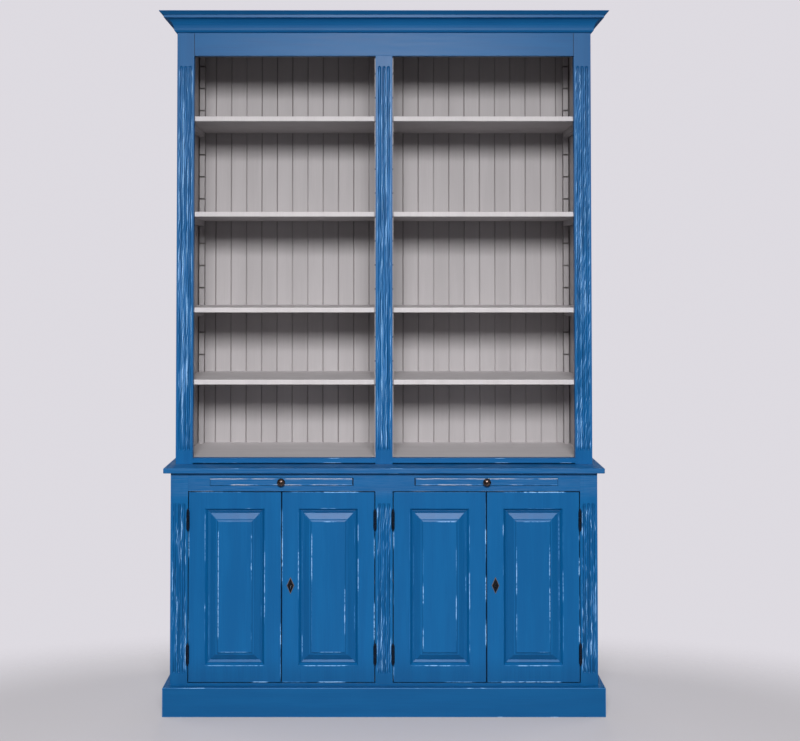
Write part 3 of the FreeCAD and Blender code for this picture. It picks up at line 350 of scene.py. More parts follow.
# ---------------------------------------------------------------- node trees
class Tree:
    """A material's nodes, with the object's own coordinates as x, y and z in metres."""

    def __init__(self, name):
        self.material = bpy.data.materials.new(name)
        self.material.use_nodes = True
        self.nodes = self.material.node_tree.nodes
        self.links = self.material.node_tree.links
        self.shader = self.nodes["Principled BSDF"]
        self.place = self.nodes.new("ShaderNodeTexCoord").outputs["Object"]
        parts = self.nodes.new("ShaderNodeSeparateXYZ")
        self.links.new(self.place, parts.inputs[0])
        self.x, self.y, self.z = parts.outputs

    def put(self, socket, value):
        if isinstance(value, bpy.types.NodeSocket):
            self.links.new(value, socket)
        else:
            socket.default_value = value

    def math(self, kind, *values):
        node = self.nodes.new("ShaderNodeMath")
        node.operation = kind
        for socket, value in zip(node.inputs, values):
            self.put(socket, value)
        return node.outputs[0]

    def add(self, a, b):
        return self.math("ADD", a, b)

    def sub(self, a, b):
        return self.math("SUBTRACT", a, b)

    def mul(self, a, b):
        return self.math("MULTIPLY", a, b)

    def size(self, a):
        return self.math("ABSOLUTE", a)

    def most(self, *values):
        result = values[0]
        for value in values[1:]:
            result = self.math("MAXIMUM", result, value)
        return result

    def least(self, *values):
        result = values[0]
        for value in values[1:]:
            result = self.math("MINIMUM", result, value)
        return result

    def from_middle(self, value, low, high):
        """Distance from halfway between low and high."""
        return self.size(self.sub(value, (low + high) / 2))

    def ramp(self, value, low, high, out_low=0.0, out_high=1.0):
        """Smooth step from out_low at low to out_high at high. low may be the greater one."""
        node = self.nodes.new("ShaderNodeMapRange")
        node.interpolation_type = "SMOOTHSTEP"
        self.put(node.inputs["Value"], value)
        flip = low > high
        node.inputs["From Min"].default_value = min(low, high)
        node.inputs["From Max"].default_value = max(low, high)
        node.inputs["To Min"].default_value = out_high if flip else out_low
        node.inputs["To Max"].default_value = out_low if flip else out_high
        return node.outputs["Result"]

    def between(self, value, low, high, soft):
        """1 between low and high, with edges as wide as twice soft."""
        return self.mul(self.ramp(value, low - soft, low + soft), self.ramp(value, high + soft, high - soft))

    def moved(self, sideways):
        """The object's coordinates, shifted along x."""
        shift = self.nodes.new("ShaderNodeCombineXYZ")
        self.links.new(sideways, shift.inputs[0])
        total = self.nodes.new("ShaderNodeVectorMath")
        self.links.new(self.place, total.inputs[0])
        self.links.new(shift.outputs[0], total.inputs[1])
        return total.outputs[0]

    def noise(self, per_metre, seed, detail=2.0, rough=0.5, place=None):
        """Noise with its own number of features for each metre along x, y and z."""
        scaled = self.nodes.new("ShaderNodeVectorMath")
        scaled.operation = "MULTIPLY_ADD"
        self.links.new(place or self.place, scaled.inputs[0])
        scaled.inputs[1].default_value = per_metre
        scaled.inputs[2].default_value = [seed * move for move in SEED_MOVES]
        node = self.nodes.new("ShaderNodeTexNoise")
        node.inputs["Scale"].default_value = 1.0
        node.inputs["Detail"].default_value = detail
        node.inputs["Roughness"].default_value = rough
        self.links.new(scaled.outputs[0], node.inputs["Vector"])
        return node.outputs["Fac"]

    def colour(self, share, a, b):
        """Mix of two colours, with the given share of the second."""
        node = self.nodes.new("ShaderNodeMix")
        node.data_type = "RGBA"
        self.put(node.inputs["Factor"], share)
        sockets = [s for s in node.inputs if s.type == "RGBA"]
        for socket, value in zip(sockets, (a, b)):
            self.put(socket, value if isinstance(value, bpy.types.NodeSocket) else (*value, 1.0))
        return [s for s in node.outputs if s.type == "RGBA"][0]

    def rounded(self, radius):
        """The surface's normal with its arrises rounded."""
        node = self.nodes.new("ShaderNodeBevel")
        node.samples = ARRIS_SAMPLES
        node.inputs["Radius"].default_value = radius
        return node.outputs["Normal"]

    def facing(self, axis):
        """How far the surface faces along an axis: 1 fully, -1 fully away."""
        parts = self.nodes.new("ShaderNodeSeparateXYZ")
        self.links.new(self.nodes.new("ShaderNodeNewGeometry").outputs["True Normal"], parts.inputs[0])
        return parts.outputs["xyz".index(axis)]

    def bump(self, height, distance, strength, under=None):
        """The normal of a relief as high as distance, laid over the normal under."""
        node = self.nodes.new("ShaderNodeBump")
        node.inputs["Strength"].default_value = strength
        node.inputs["Distance"].default_value = distance
        self.links.new(height, node.inputs["Height"])
        if under is not None:
            self.links.new(under, node.inputs["Normal"])
        return node.outputs["Normal"]

    def finish(self, colour, roughness, normal=None, **constants):
        """Set the shader and give the material back."""
        self.put(self.shader.inputs["Base Color"], colour)
        self.put(self.shader.inputs["Roughness"], roughness)
        if normal is not None:
            self.links.new(normal, self.shader.inputs["Normal"])
        for name, value in constants.items():
            self.shader.inputs[name.replace("_", " ")].default_value = value
        return self.material


def grained(along, across_rate, along_rate):
    """Features for each metre along x, y and z, for marks that run along one of them."""
    rates = [across_rate] * 3
    rates["xyz".index(along)] = along_rate
    return rates


# ---------------------------------------------------------------- masks of wear and painted highlight
# A mask runs from 0 to 1. What is added to a seed makes its noise differ from the others on the same node.
def line(t, across, at, width, wander, seed, per_metre=(30, 30, 30)):
    """Thin wandering line where the coordinate across is near at. width is half of its width."""
    drift = t.mul(t.sub(t.noise(per_metre, seed), 0.5), wander)
    return t.ramp(t.size(t.sub(t.add(across, drift), at)), width, width * LINE_CORE)


def patchy(t, per_metre, cover, seed, soft=0.05):
    """1 over about the given share of the surface, in patches."""
    edge = 0.5 + (0.5 - cover) * NOISE_SPREAD
    return t.ramp(t.noise(per_metre, seed, 3.0), edge - soft, edge + soft)


def across_outline(t, box, inset):
    """Signed distance outwards from a rectangle that lies inside the front face of a box."""
    low, high = box
    dx = t.sub(t.from_middle(t.x, low.x, high.x), (high.x - low.x) / 2 - inset)
    dz = t.sub(t.from_middle(t.z, low.z, high.z), (high.z - low.z) / 2 - inset)
    return t.most(dx, dz)


def on_front(t, front):
    """The front face, and FACE behind it."""
    return t.ramp(t.y, front + 2 * FACE, front + FACE)


def from_flute(t, box):
    """Distance from the middle of a stile, and from the middle of the nearest of its flutes."""
    across = t.from_middle(t.x, box[0].x, box[1].x)
    return across, t.math("PINGPONG", t.least(across, FLUTES_HALF), FLUTE_PITCH / 2)


def stile_wear(t, box, flutes_z, streak, cover, faint, lean, seed):
    """Wavering rubbed streaks over the flutes of a stile, strongest on the lands between them.

    STILE_STREAKS says what streak, cover, faint and lean are.
    """
    across, off_flute = from_flute(t, box)
    land = t.ramp(off_flute, FLUTE_HALF - 0.0015, FLUTE_HALF + 0.0008, IN_FLUTE, 1.0)
    waver = t.mul(t.sub(t.noise((10, 0, 18), seed), 0.5), STREAK_WAVER)
    place = t.moved(t.add(waver, t.mul(t.z, -lean)))
    runs = t.mul(t.sub(t.noise((50, 0, 4), seed + 3), 0.5), STREAK_RUNS)
    edge = STREAK_EDGE - STREAK_COVER * cover
    streaks = t.add(t.noise(streak, seed + 5, 2.0, 0.6, place), runs)
    rubbed = t.ramp(streaks, edge, edge + STREAK_SOFT, 0.0, STREAK_MUCH)
    broader = (streak[0] * 0.8, 0, streak[2] * 0.6)
    brushed = t.ramp(t.noise(broader, seed + 7, 2.0, 0.6, place), *FAINT_SPAN, 0.0, faint)
    ends = t.between(t.z, flutes_z[0] + STREAK_ENDS[0], flutes_z[1] - STREAK_ENDS[1], STREAK_ENDS_SOFT)
    band = t.ramp(across, FLUTES_HALF + 0.0030, FLUTES_HALF - 0.0010, BESIDE_FLUTES, 1.0)
    return t.mul(t.mul(t.most(rubbed, brushed), land), t.mul(ends, band))


def rubs_and_highlights(t, outline, door, lines, depth, seed):
    """Rubbed stretches, partly painted highlight, along some lines of a door, no further behind its front
    than depth.
    """
    low, high = outline
    marks = []
    for name in lines:
        inset = RUB_INSETS[name]
        at = {"left": low.x + inset, "right": high.x - inset, "bottom": low.z + inset, "top": high.z - inset}
        for side, stretches in DOOR_RUBS_AND_HIGHLIGHTS[door][name].items():
            across, along = (t.x, t.z) if side in ("left", "right") else (t.z, t.x)
            mark = line(t, across, at[side], RUB_WIDTHS[name], RUB_WANDER, seed, (25, 25, 25))
            rubbed = [t.mul(t.between(along, start / 1000, end / 1000, RUB_SOFT), much)
                      for start, end, much in stretches]
            marks.append(t.mul(mark, t.most(*rubbed)))
    ragged = t.ramp(t.noise((110, 110, 110), seed + 8, 3.0), 0.32, 0.56, 0.40, 1.0)
    near = t.ramp(t.y, low.y + depth + 0.001, low.y + depth)
    return t.mul(t.mul(t.most(*marks), ragged), near)


def door_rubs_and_highlights(t, outline, door, lines, depth, seed):
    """Rubbed stretches, partly painted highlight, along two lines of a door, and a faint trace all along the
    inner one.
    """
    inner = across_outline(t, outline, RUB_INSETS[lines[-1]])
    patches = t.mul(patchy(t, (14, 14, 14), 0.5, seed), TRACE_MUCH)
    trace = t.mul(line(t, inner, 0.0, TRACE_WIDTH, TRACE_WANDER, seed), patches)
    return t.most(rubs_and_highlights(t, outline, door, lines, depth, seed), trace)


def arris_wear_and_highlight(t, box, cover, width, painted_highlight, seed):
    """Rubbed arrises of a board, where two of its faces meet, with a painted highlight all along them as
    strong as the least rubbing given.
    """
    low, high = box
    gx, gy, gz = [t.sub((b - a) / 2, t.from_middle(value, a, b))
                  for value, a, b in zip((t.x, t.y, t.z), low, high)]
    second_least = t.most(t.least(gx, gy), t.least(gx, gz), t.least(gy, gz))
    # the least rubbing given draws a painted highlight all along the arris
    patches = t.most(patchy(t, (12, 12, 12), cover, seed), painted_highlight)
    return t.mul(t.ramp(second_least, width, width * LINE_CORE), patches)


def slide_wear(t, box, seed):
    """Ragged pale lines along the upper and lower edges of a pull-out board's front."""
    low, high = box  # the box reaches below the board, down to its stop pegs
    upper_z = high.z - SLIDE_LINE_IN
    lower_z = high.z - SLIDE_THICK + SLIDE_LINE_IN
    upper = t.mul(line(t, t.z, upper_z, 0.0018, SLIDE_WANDER, seed, (30, 0, 0)),
                  patchy(t, (16, 0, 0), 0.75, seed + 4, 0.12))
    lower = t.mul(line(t, t.z, lower_z, 0.0022, SLIDE_WANDER, seed + 2, (30, 0, 0)),
                  patchy(t, (16, 0, 0), 0.42, seed + 6, 0.16))
    return t.mul(t.mul(t.most(upper, lower), 0.85), on_front(t, low.y))


def rail_wear(t, box, seed):
    """Pale patches along the lower edge of the cupboard's top rail, over the doors."""
    low = box[0]
    patches = t.mul(patchy(t, (9, 9, 0), 0.40, seed, 0.12), 0.7)
    return t.mul(line(t, t.z, low.z, RAIL_LINE_WIDTH, RAIL_WANDER, seed), t.mul(patches, on_front(t, low.y)))


# ---------------------------------------------------------------- masks of painted shade, grime and the grey inside
def flute_shade(t, box, flutes_z):
    """Painted shade in the flutes of a stile, more in some places than others."""
    sunk = t.ramp(from_flute(t, box)[1], FLUTE_HALF + 0.0004, FLUTE_HALF - 0.0012)
    ends = t.between(t.z, flutes_z[0] + FLUTE_SHADE_ENDS, flutes_z[1] - FLUTE_SHADE_ENDS, 0.004)
    return t.mul(t.mul(sunk, ends), t.ramp(t.noise((120, 0, 5), 4.0), 0.35, 0.62, *FLUTE_SHADE))


def end_joint_shade(t, box):
    """Painted shade in the open joints at both ends of a rail."""
    return t.ramp(t.size(t.x), box[1].x - JOINT_SHADE[0], box[1].x - JOINT_SHADE[1])


def door_shade(t, box, door):
    """Painted shade on the arris all round a door, beside its gap, and inside its keyhole."""
    front = box[0].y
    arris = t.mul(t.ramp(across_outline(t, box, 0.0), -GAP_SHADE[0], -GAP_SHADE[1]),
                  t.ramp(t.y, front + GAP_SHADE_DEPTH + GAP_SHADE_SOFT, front + GAP_SHADE_DEPTH))
    if door not in LOCKED_DOORS:
        return arris
    low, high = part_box("door_%d_escutcheon" % door)
    reach = t.add(t.from_middle(t.x, low.x, high.x), t.from_middle(t.z, low.z, high.z))
    hole = t.mul(t.ramp(reach, KEYHOLE_REACH + 0.001, KEYHOLE_REACH),
                 t.ramp(t.y, front + FACE_FADE[1], front + FACE_FADE[0]))
    return t.most(arris, hole)


def diamond_rim(t, box):
    """The rubbed rim of a diamond plate."""
    low, high = box
    half = (high - low) / 2
    out = t.add(t.mul(t.from_middle(t.x, low.x, high.x), 1 / half.x),
                t.mul(t.from_middle(t.z, low.z, high.z), 1 / half.z))
    return t.ramp(out, *RIM_SPAN)


def inside_of_side(t, box):
    """The inner face of a side panel."""
    inner = min(abs(box[0].x), abs(box[1].x))
    return t.ramp(t.size(t.x), inner + FACE_FADE[0], inner + FACE_FADE[1])


def behind_face(t, box):
    """The back face of a stile or rail."""
    return t.ramp(t.y, box[1].y - FACE_FADE[0], box[1].y - FACE_FADE[1])


def boards(t, node):
    """Distance to the nearest joint between back boards, and a number that stays the same over each board."""
    left = t.math("LESS_THAN", t.x, 0.0)
    along = t.sub(t.x, t.add(FIRST_JOINT, t.mul(left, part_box(node)[0].x)))
    gap = t.math("PINGPONG", along, BOARD_PITCH / 2)
    number = t.add(t.math("FLOOR", t.mul(along, 1 / BOARD_PITCH)), t.mul(left, 40.0))
    chance = t.nodes.new("ShaderNodeTexWhiteNoise")
    chance.noise_dimensions = "1D"
    t.links.new(number, chance.inputs["W"])
    return gap, chance.outputs["Value"]


def board_shade_and_grime(t, node, gap, seed):
    """Painted shade and grime in the front grooves of back boards, more in some places, and darker joints
    behind.
    """
    front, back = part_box(node)[0].y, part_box(node)[1].y
    groove = t.mul(t.ramp(t.y, front + 0.0003, front + 0.0010), t.ramp(t.y, back - 0.0010, back - 0.0015))
    much = t.ramp(t.noise((6, 0, 1.2), seed + 13, 1.0), 0.3, 0.7, *GROOVE_SHADE_AND_GRIME)
    behind = t.mul(t.ramp(gap, 0.0011, 0.0004), t.ramp(t.y, back - 0.0008, back - 0.0002, 0.0, BACK_JOINT_DARKNESS))
    return t.most(t.mul(groove, much), behind)


def rack_shade(t):
    """Painted shade in the slots of the shelf racks and on the racks' sides, thinning out here and there."""
    off_slot = t.math("PINGPONG", t.sub(t.z, RACK_SLOT_Z), RACK_PITCH / 2)
    edge = (RACK_SLOT_HALF + SLOT_FADE[0], RACK_SLOT_HALF + SLOT_FADE[1])
    above_foot = t.math("GREATER_THAN", t.z, RACK_SLOT_Z - 2 * RACK_SLOT_HALF)
    slot = t.mul(t.ramp(off_slot, *edge, 0.0, SLOT_SHADE), above_foot)
    side = t.ramp(t.size(t.facing("x")), 0.6, 0.9, 0.0, RACK_SIDE_SHADE)
    return t.mul(t.most(slot, side), t.ramp(t.noise((8, 8, 20), 5.0), 0.3, 0.6, 0.6, 1.0))


# ---------------------------------------------------------------- finishes
def brush_marks(t, along, brush, seed, cloud_seed):
    """Brush strokes along an axis, and their mix with broader clouds of tone."""
    fine, broad, share = brush
    strokes = t.noise(grained(along, *fine), seed, 3.0, 0.6)
    clouds = t.noise(grained(along, *broad), cloud_seed)
    return strokes, t.add(t.mul(strokes, 1 - share), t.mul(clouds, share))


def slope_shade_and_highlight(t, colour, slope_shading):
    """Painted shade on faces that slope sideways or down, and a little painted highlight on those that slope
    up.
    """
    low, high = STEEP
    colour = t.colour(t.ramp(t.size(t.facing("x")), low, high, 0.0, slope_shading), colour, SHADOW_BLUE)
    colour = t.colour(t.ramp(t.facing("z"), -low, -high, 0.0, UNDER_SLOPES * slope_shading), colour, SHADOW_BLUE)
    return t.colour(t.ramp(t.facing("z"), low, high, 0.0, UPPER_SLOPES * slope_shading), colour, PAINTED_SHEEN)


def blue_paint(name, along, seed, wear_and_highlight=None, under=UNDERCOAT, inside=None, sheen=0.0, joints=None,
               slope_shading=0.0, rougher=0.0):
    """Satin blue paint brushed along one axis, rubbed down to a pale undercoat where the mask of wear says;
    on a few arrises and along the bottoms of the door openings that mask is a painted highlight.

    The masks are functions of the tree, in the order of the arguments: wear with painted highlight, the faces
    that have the grey of the cabinet's inside, and the painted shade in hollows, open joints and gaps. Then
    come the share of pale painted sheen, the strength of the painted shade and highlight on sloping faces,
    and what the roughness gains below the cornice's fillet.
    """
    t = Tree(name)
    strokes, tone = brush_marks(t, along, BLUE_BRUSH, seed, seed + CLOUD_SEED_BLUE)
    colour = t.colour(t.ramp(tone, *BLUE_TONES), BLUE_DEEP, BLUE)
    # painted shade and painted highlight by the way a face slopes
    if slope_shading:
        colour = slope_shade_and_highlight(t, colour, slope_shading)
    # painted sheen in streaks, from a little below the top rail up
    if sheen:
        streaked_sheen = t.ramp(t.noise(SHEEN_STROKES, seed + 31, 3.0, 0.6), 0.36, 0.68, 0.0, 2.0 * sheen)
        colour = t.colour(t.mul(streaked_sheen, t.ramp(t.z, TOP_RAIL_Z - SHEEN_RISE, TOP_RAIL_Z)), colour, PAINTED_SHEEN)
    # painted shade, growing towards the foot
    colour = t.colour(t.ramp(t.z, FOOT_Z[1], FOOT_Z[0], 0.0, FOOT_SHADE), colour, SHADOW_BLUE)
    roughness = t.ramp(strokes, *STROKE_SPAN, *BLUE_ROUGHNESS)
    if rougher:
        below = t.ramp(t.z, CORNICE_FILLET_Z + 0.001, CORNICE_FILLET_Z - 0.001, 0.0, rougher)
        roughness = t.add(roughness, below)
    normal = t.bump(strokes, STROKE_RELIEF, 0.5, t.rounded(ARRIS))
    # painted shade in hollows, open joints and gaps
    if joints is not None:
        colour = t.colour(joints(t), colour, SHADOW_BLUE)
    if wear_and_highlight is not None:
        mask = wear_and_highlight(t)
        speckle = t.ramp(t.noise(SPECKLE, seed + 21), 0.28, 0.55, 0.35, 1.0)
        bare = t.mul(t.ramp(mask, *RUBBED_OFF), speckle)
        colour = t.colour(t.mul(t.ramp(mask, *RUBBED_THIN), THIN_MUCH), colour, BLUE_THIN)
        colour = t.colour(bare, colour, under)
        roughness = t.add(roughness, t.mul(bare, RUBBED_ROUGHER))
        normal = t.bump(t.sub(1.0, mask), COAT_THICK, 0.6, normal)
    if inside is not None:
        colour = t.colour(inside(t), colour, t.colour(t.ramp(tone, *BLUE_TONES), GREY_DEEP, GREY))
    return t.finish(colour, roughness, normal, Specular_IOR_Level=BLUE_SPECULAR)


def grey_paint(name, along, seed, light=GREY, deep=GREY_DEEP, back=None, racks=False):
    """Flat warm grey paint brushed along one axis. Undersides get painted shade, grooves painted shade and
    grime.

    back names the node if it is back boards, which also differ a little in tone. racks says that it is the
    shelf racks.
    """
    t = Tree(name)
    strokes, tone = brush_marks(t, along, GREY_BRUSH, seed, seed + CLOUD_SEED_GREY)
    colour = t.colour(t.ramp(tone, *GREY_TONES), deep, light)
    # painted shade on undersides
    colour = t.colour(t.ramp(t.facing("z"), *UNDERSIDE, 0.0, UNDERSIDE_SHADE), colour, GRIME_AND_SHADE)
    if back is not None:
        gap, chance = boards(t, back)
        colour = t.colour(t.mul(chance, BOARD_TONES), colour, GRIME_AND_SHADE)
        # painted shade and grime in the grooves, darker joints behind
        colour = t.colour(board_shade_and_grime(t, back, gap, seed), colour, GRIME_AND_SHADE)
    if racks:
        # painted shade in the racks' slots and on their sides
        colour = t.colour(rack_shade(t), colour, GRIME_AND_SHADE)
    roughness = t.ramp(strokes, *STROKE_SPAN, *GREY_ROUGHNESS)
    return t.finish(colour, roughness, t.bump(strokes, STROKE_RELIEF, 0.5), Specular_IOR_Level=MATT_SPECULAR)


def bare_pine(name, along, seed, light=PINE, deep=PINE_DEEP, painted_to=None):
    """Unpainted pine: year rings stretched along the grain, darker latewood, fine pores.

    In front of the given depth it has the cabinet's blue, darkened to painted shade, since it shows only
    through the gaps round the doors.
    """
    t = Tree(name)
    rings = t.math("FRACT", t.mul(t.noise(grained(along, *RING_GRAIN), seed, 1.0), RING_BANDS))
    late = t.mul(t.ramp(rings, 0.45, 0.92), t.ramp(rings, 1.0, 0.93))
    pores = t.noise(grained(along, *PORE_GRAIN), seed + 3)
    colour = t.colour(t.mul(late, 0.8), light, deep)
    colour = t.colour(t.ramp(pores, 0.62, 0.75, 0.0, 0.35), colour, deep)
    # painted shade: the front in the blue of the gaps' shade
    if painted_to is not None:
        colour = t.colour(t.ramp(t.y, painted_to + 0.0004, painted_to), colour, SHADOW_BLUE)
    roughness = t.ramp(pores, 0.3, 0.7, *PINE_ROUGHNESS)
    return t.finish(colour, roughness, t.bump(pores, PORE_DEPTH, 0.5), Specular_IOR_Level=MATT_SPECULAR)


def black_iron(name, seed, handled, rim=None):
    """Pitted cast iron with worn black lacquer, another colour where handled. rim gives its rim's mask."""
    t = Tree(name)
    patches = t.noise((260, 260, 260), seed, 3.0)
    colour = t.colour(t.ramp(patches, 0.45, 0.68), IRON, handled)
    if rim is not None:
        colour = t.colour(rim(t), colour, IRON_RIM)
    roughness = t.ramp(patches, 0.35, 0.65, *IRON_ROUGHNESS)
    pits = t.bump(t.noise((1400, 1400, 1400), seed + 5), PIT_DEPTH, 0.6)
    return t.finish(colour, roughness, pits, Metallic=IRON_METALLIC, Specular_IOR_Level=IRON_SPECULAR)


def dark_bronze(name, seed):
    """Bronze with a dark brown patina, brighter in rubbed patches."""
    t = Tree(name)
    patches = t.noise((240, 240, 240), seed, 3.0)
    scratches = t.noise((1500, 1500, 300), seed + 5)
    colour = t.colour(t.ramp(patches, 0.40, 0.66), BRONZE, BRONZE_RUBBED)
    roughness = t.ramp(scratches, 0.3, 0.7, *BRONZE_ROUGHNESS)
    return t.finish(colour, roughness, t.bump(scratches, SCRATCH_DEPTH, 0.5), Metallic=BRONZE_METALLIC)


def lock_steel(name, seed):
    """Brushed steel, a little dull and stained."""
    t = Tree(name)
    brushed = t.noise((60, 900, 1400), seed, 3.0)
    stains = t.noise((120, 120, 120), seed + 5)
    colour = t.colour(t.ramp(stains, 0.45, 0.7), STEEL, STEEL_STAINED)
    roughness = t.ramp(brushed, 0.3, 0.7, *STEEL_ROUGHNESS)
    return t.finish(colour, roughness, t.bump(brushed, BRUSHED_DEPTH, 0.5), Metallic=1.0)


# ---------------------------------------------------------------- which node gets which finish
def flutes_of(node):
    return UPPER_FLUTES_Z if node.startswith("upper") else BASE_FLUTES_Z


def wear_and_highlight_for(node, box, seed):
    """How a blue node is rubbed, with painted highlights on some arrises and door openings, or None."""
    if node in STILE_STREAKS:
        return lambda t: stile_wear(t, box, flutes_of(node), *STILE_STREAKS[node], seed)
    if node in ARRIS_RUBS_AND_HIGHLIGHTS:
        return lambda t: arris_wear_and_highlight(t, box, *ARRIS_RUBS_AND_HIGHLIGHTS[node], seed)
    if node.startswith("door"):
        door = int(node.split("_")[1])
        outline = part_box("door_%d_frame" % door)
        if node.endswith("_frame"):
            return lambda t: door_rubs_and_highlights(t, outline, door, ("edge", "opening"), EDGE_RUB_DEPTH, seed)
        return lambda t: door_rubs_and_highlights(t, outline, door, ("margin", "field"), PANEL_RUB_DEPTH, seed)
    if node.startswith("slide_board"):
        return lambda t: slide_wear(t, box, seed)
    if node == "base_top_rail":
        return lambda t: rail_wear(t, box, seed)
    return None


def painted_shade_for(node, box):
    """Where a blue node has painted shade: in its flutes, its open joints, or the gaps and keyhole of a door.
    Or None.
    """
    if node in STILE_STREAKS:
        return lambda t: flute_shade(t, box, flutes_of(node))
    if node == "upper_frieze":
        return lambda t: end_joint_shade(t, box)
    if node.startswith("door") and node.endswith("_frame"):
        return lambda t: door_shade(t, box, int(node.split("_")[1]))
    return None


def inside_for(node, box):
    """Which face of a blue node has the grey of the inside. Or None."""
    if "_side_" in node:
        return lambda t: inside_of_side(t, box)
    if node in STILE_STREAKS or node == "upper_frieze" or "_rail" in node:
        return lambda t: behind_face(t, box)
    return None


def blue_for(node, box, along, seed):
    chalky = node.startswith("slide_board") or node == "base_top_rail"
    sheened = chalky or node.startswith("base_") and "_side_" not in node
    return blue_paint(node + "_paint", along, seed, wear_and_highlight=wear_and_highlight_for(node, box, seed),
                      under=CHALK if chalky else UNDERCOAT, inside=inside_for(node, box),
                      sheen=SHEEN_SHARE if sheened else 0.0, joints=painted_shade_for(node, box),
                      slope_shading=PANEL_SLOPE_SHADING if node.endswith("_panel") else 0.0, rougher=ROUGHER.get(node, 0.0))


def grey_for(node, along, seed):
    if node.startswith("shelves") or node == "upper_floor":
        return grey_paint(node + "_paint", along, seed, SHELF_GREY, SHELF_GREY_DEEP)
    if "back_boards" in node:
        return grey_paint(node + "_paint", "z", seed, back=node)
    return grey_paint(node + "_paint", along, seed, racks=node == "shelf_racks")


def pine_for(node, box, along, seed):
    if node == "slide_runners":
        # painted shade: the runners show only in the dark gaps beside the pull-out boards
        return bare_pine(node + "_pine", along, seed, SHADED_PINE, SHADED_PINE_DEEP)
    if node == "door_stops":
        # their front has painted shade
        return bare_pine(node + "_pine", along, seed, painted_to=box[0].y + 0.001)
    return bare_pine(node + "_pine", along, seed)


def iron_for(node, box, seed):
    if "escutcheon" in node:
        return black_iron(node + "_iron", seed, IRON_WORN, lambda t: diamond_rim(t, box))
    return black_iron(node + "_iron", seed, IRON_PAINTED)


def finish_for(node, slot, number):
    """The material for one slot of a node. Paint is brushed, and wood grows, along its longest side."""
    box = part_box(node)
    size = box[1] - box[0]
    along = "xyz"[max(range(3), key=lambda k: size[k])]
    seed = FIRST_SEED + SEED_STEP * number
    if slot == "grey_paint":
        return grey_for(node, along, seed)
    if slot == "bare_pine":
        return pine_for(node, box, along, seed)
    if slot == "black_iron":
        return iron_for(node, box, seed)
    if slot == "dark_bronze":
        return dark_bronze(node + "_bronze", seed)
    if slot == "lock_steel":
        return lock_steel(node + "_steel", seed)
    return blue_for(node, box, along, seed)


for number, (node, thing) in enumerate(sorted(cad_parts.items())):
    for slot in thing.material_slots:
        name = slot.material.name.split(".")[0]
        slot.material = finish_for(node, name, number)


# ---------------------------------------------------------------- floor and backdrop
def oval(name, middle_y, reach, height):
    """Flat oval, as a mesh."""
    turns = [2 * math.pi * k / FLOOR_CORNERS for k in range(FLOOR_CORNERS)]
    points = [(reach[0] * math.cos(turn), middle_y + reach[1] * math.sin(turn), height) for turn in turns]
    mesh = bpy.data.meshes.new(name)
    mesh.from_pydata(points, [], [list(range(FLOOR_CORNERS))])
    thing = bpy.data.objects.new(name, mesh)
    bpy.context.scene.collection.objects.link(thing)
    return thing


def floor_paint():
    """Plain floor that the camera sees fade into the backdrop towards the oval's rim."""
    t = Tree("floor")
    east = t.mul(t.x, 1 / FLOOR_REACH[0])
    north = t.mul(t.sub(t.y, FLOOR_MIDDLE_Y), 1 / FLOOR_REACH[1])
    out = t.math("SQRT", t.add(t.mul(east, east), t.mul(north, north)))
    in_picture = t.nodes.new("ShaderNodeLightPath").outputs["Is Camera Ray"]
    clear = t.nodes.new("ShaderNodeBsdfTransparent")
    glow = t.nodes.new("ShaderNodeEmission")
    glow.inputs["Color"].default_value = (*BACKDROP, 1.0)
    t.put(glow.inputs["Strength"], t.mul(in_picture, FLOOR_GLOW))
    lifted = t.nodes.new("ShaderNodeAddShader")
    t.links.new(t.shader.outputs[0], lifted.inputs[0])
    t.links.new(glow.outputs[0], lifted.inputs[1])
    mixed = t.nodes.new("ShaderNodeMixShader")
    t.links.new(t.mul(t.ramp(out, *FLOOR_FADE), in_picture), mixed.inputs[0])
    t.links.new(lifted.outputs[0], mixed.inputs[1])
    t.links.new(clear.outputs[0], mixed.inputs[2])
    t.links.new(mixed.outputs[0], t.nodes["Material Output"].inputs["Surface"])
    return t.finish((*FLOOR_COLOUR, 1.0), FLOOR_ROUGHNESS, Specular_IOR_Level=FLOOR_SPECULAR)


floor = oval("floor", FLOOR_MIDDLE_Y, FLOOR_REACH, FLOOR_Z)
floor.data.materials.append(floor_paint())


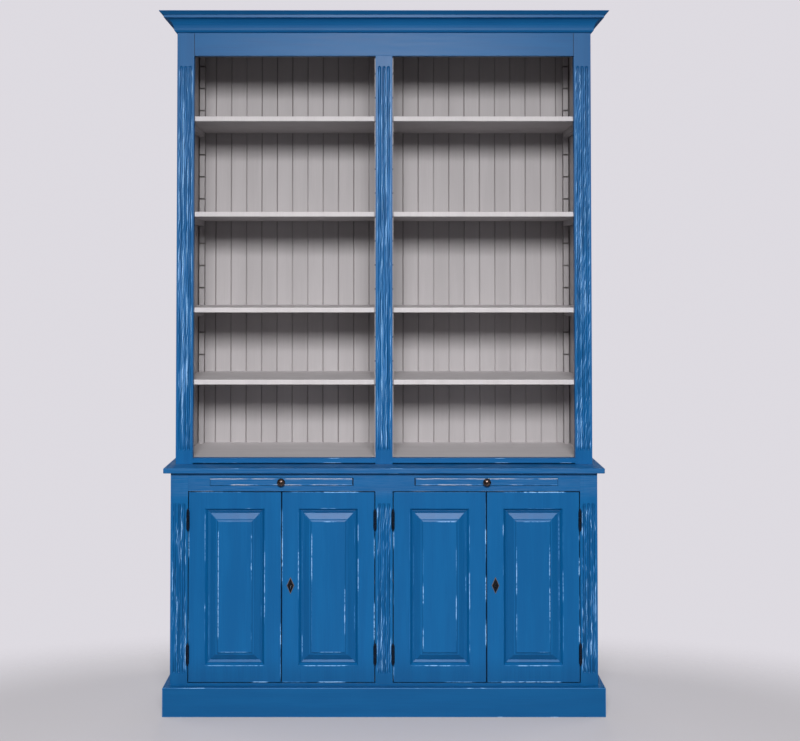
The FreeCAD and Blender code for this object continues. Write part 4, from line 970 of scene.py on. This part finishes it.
def studio():
    """World with a pale backdrop for the camera, a soft fill light and a dimmer one for glossy surfaces."""
    world = bpy.data.worlds.new("studio")
    bpy.context.scene.world = world
    world.use_nodes = True
    nodes, links = world.node_tree.nodes, world.node_tree.links
    light_path = nodes.new("ShaderNodeLightPath")

    def glowing(colour, strength):
        node = nodes.new("ShaderNodeBackground")
        node.inputs["Color"].default_value = (*colour, 1.0)
        node.inputs["Strength"].default_value = strength
        return node.outputs[0]

    def choose(ray, chosen, otherwise):
        node = nodes.new("ShaderNodeMixShader")
        links.new(light_path.outputs[ray], node.inputs[0])
        links.new(otherwise, node.inputs[1])
        links.new(chosen, node.inputs[2])
        return node.outputs[0]

    fill = choose("Is Glossy Ray", glowing(WORLD_TINT, GLOSS_STRENGTH), glowing(WORLD_TINT, FILL_STRENGTH))
    links.new(choose("Is Camera Ray", glowing(BACKDROP, 1.0), fill), nodes["World Output"].inputs[0])


studio()


# ---------------------------------------------------------------- lamps and camera
def softbox(name, at, aim, size, watts, spread):
    """Rectangular lamp that isn't seen itself."""
    lamp = bpy.data.lights.new(name, "AREA")
    lamp.shape = "RECTANGLE"
    lamp.size, lamp.size_y = size
    lamp.spread = spread
    lamp.energy = watts
    lamp.color = LAMP_COLOUR
    thing = bpy.data.objects.new(name, lamp)
    thing.location = at
    thing.rotation_euler = (aim - at).to_track_quat("-Z", "Y").to_euler()
    thing.visible_camera = False
    bpy.context.scene.collection.objects.link(thing)


softbox("key", KEY_AT, KEY_AIM, KEY_SIZE, KEY_WATTS, KEY_SPREAD)
for side in (-1, 1):
    beside = Vector((side * SIDE_AT.x, SIDE_AT.y, SIDE_AT.z))
    softbox("side_light", beside, SOFT_AIM, SOFT_SIZE, SIDE_WATTS, SOFT_SPREAD)
softbox("back_light", BACK_AT, SOFT_AIM, SOFT_SIZE, BACK_WATTS, SOFT_SPREAD)

lens = bpy.data.cameras.new("camera")
lens.sensor_fit = "HORIZONTAL"
lens.sensor_width = SENSOR_MM
lens.lens = FOCAL_PX / IMAGE_W * SENSOR_MM
lens.shift_x = (IMAGE_W / 2 - CENTRE_COL) / IMAGE_W
lens.shift_y = (CENTRE_ROW - IMAGE_H / 2) / IMAGE_W
lens.clip_end = CAMERA_REACH
camera = bpy.data.objects.new("camera", lens)
camera.location = CAMERA_AT
camera.rotation_euler = (math.pi / 2 + CAMERA_PITCH, 0.0, 0.0)
bpy.context.scene.collection.objects.link(camera)
bpy.context.scene.camera = camera

bpy.context.scene.view_settings.view_transform = "Standard"
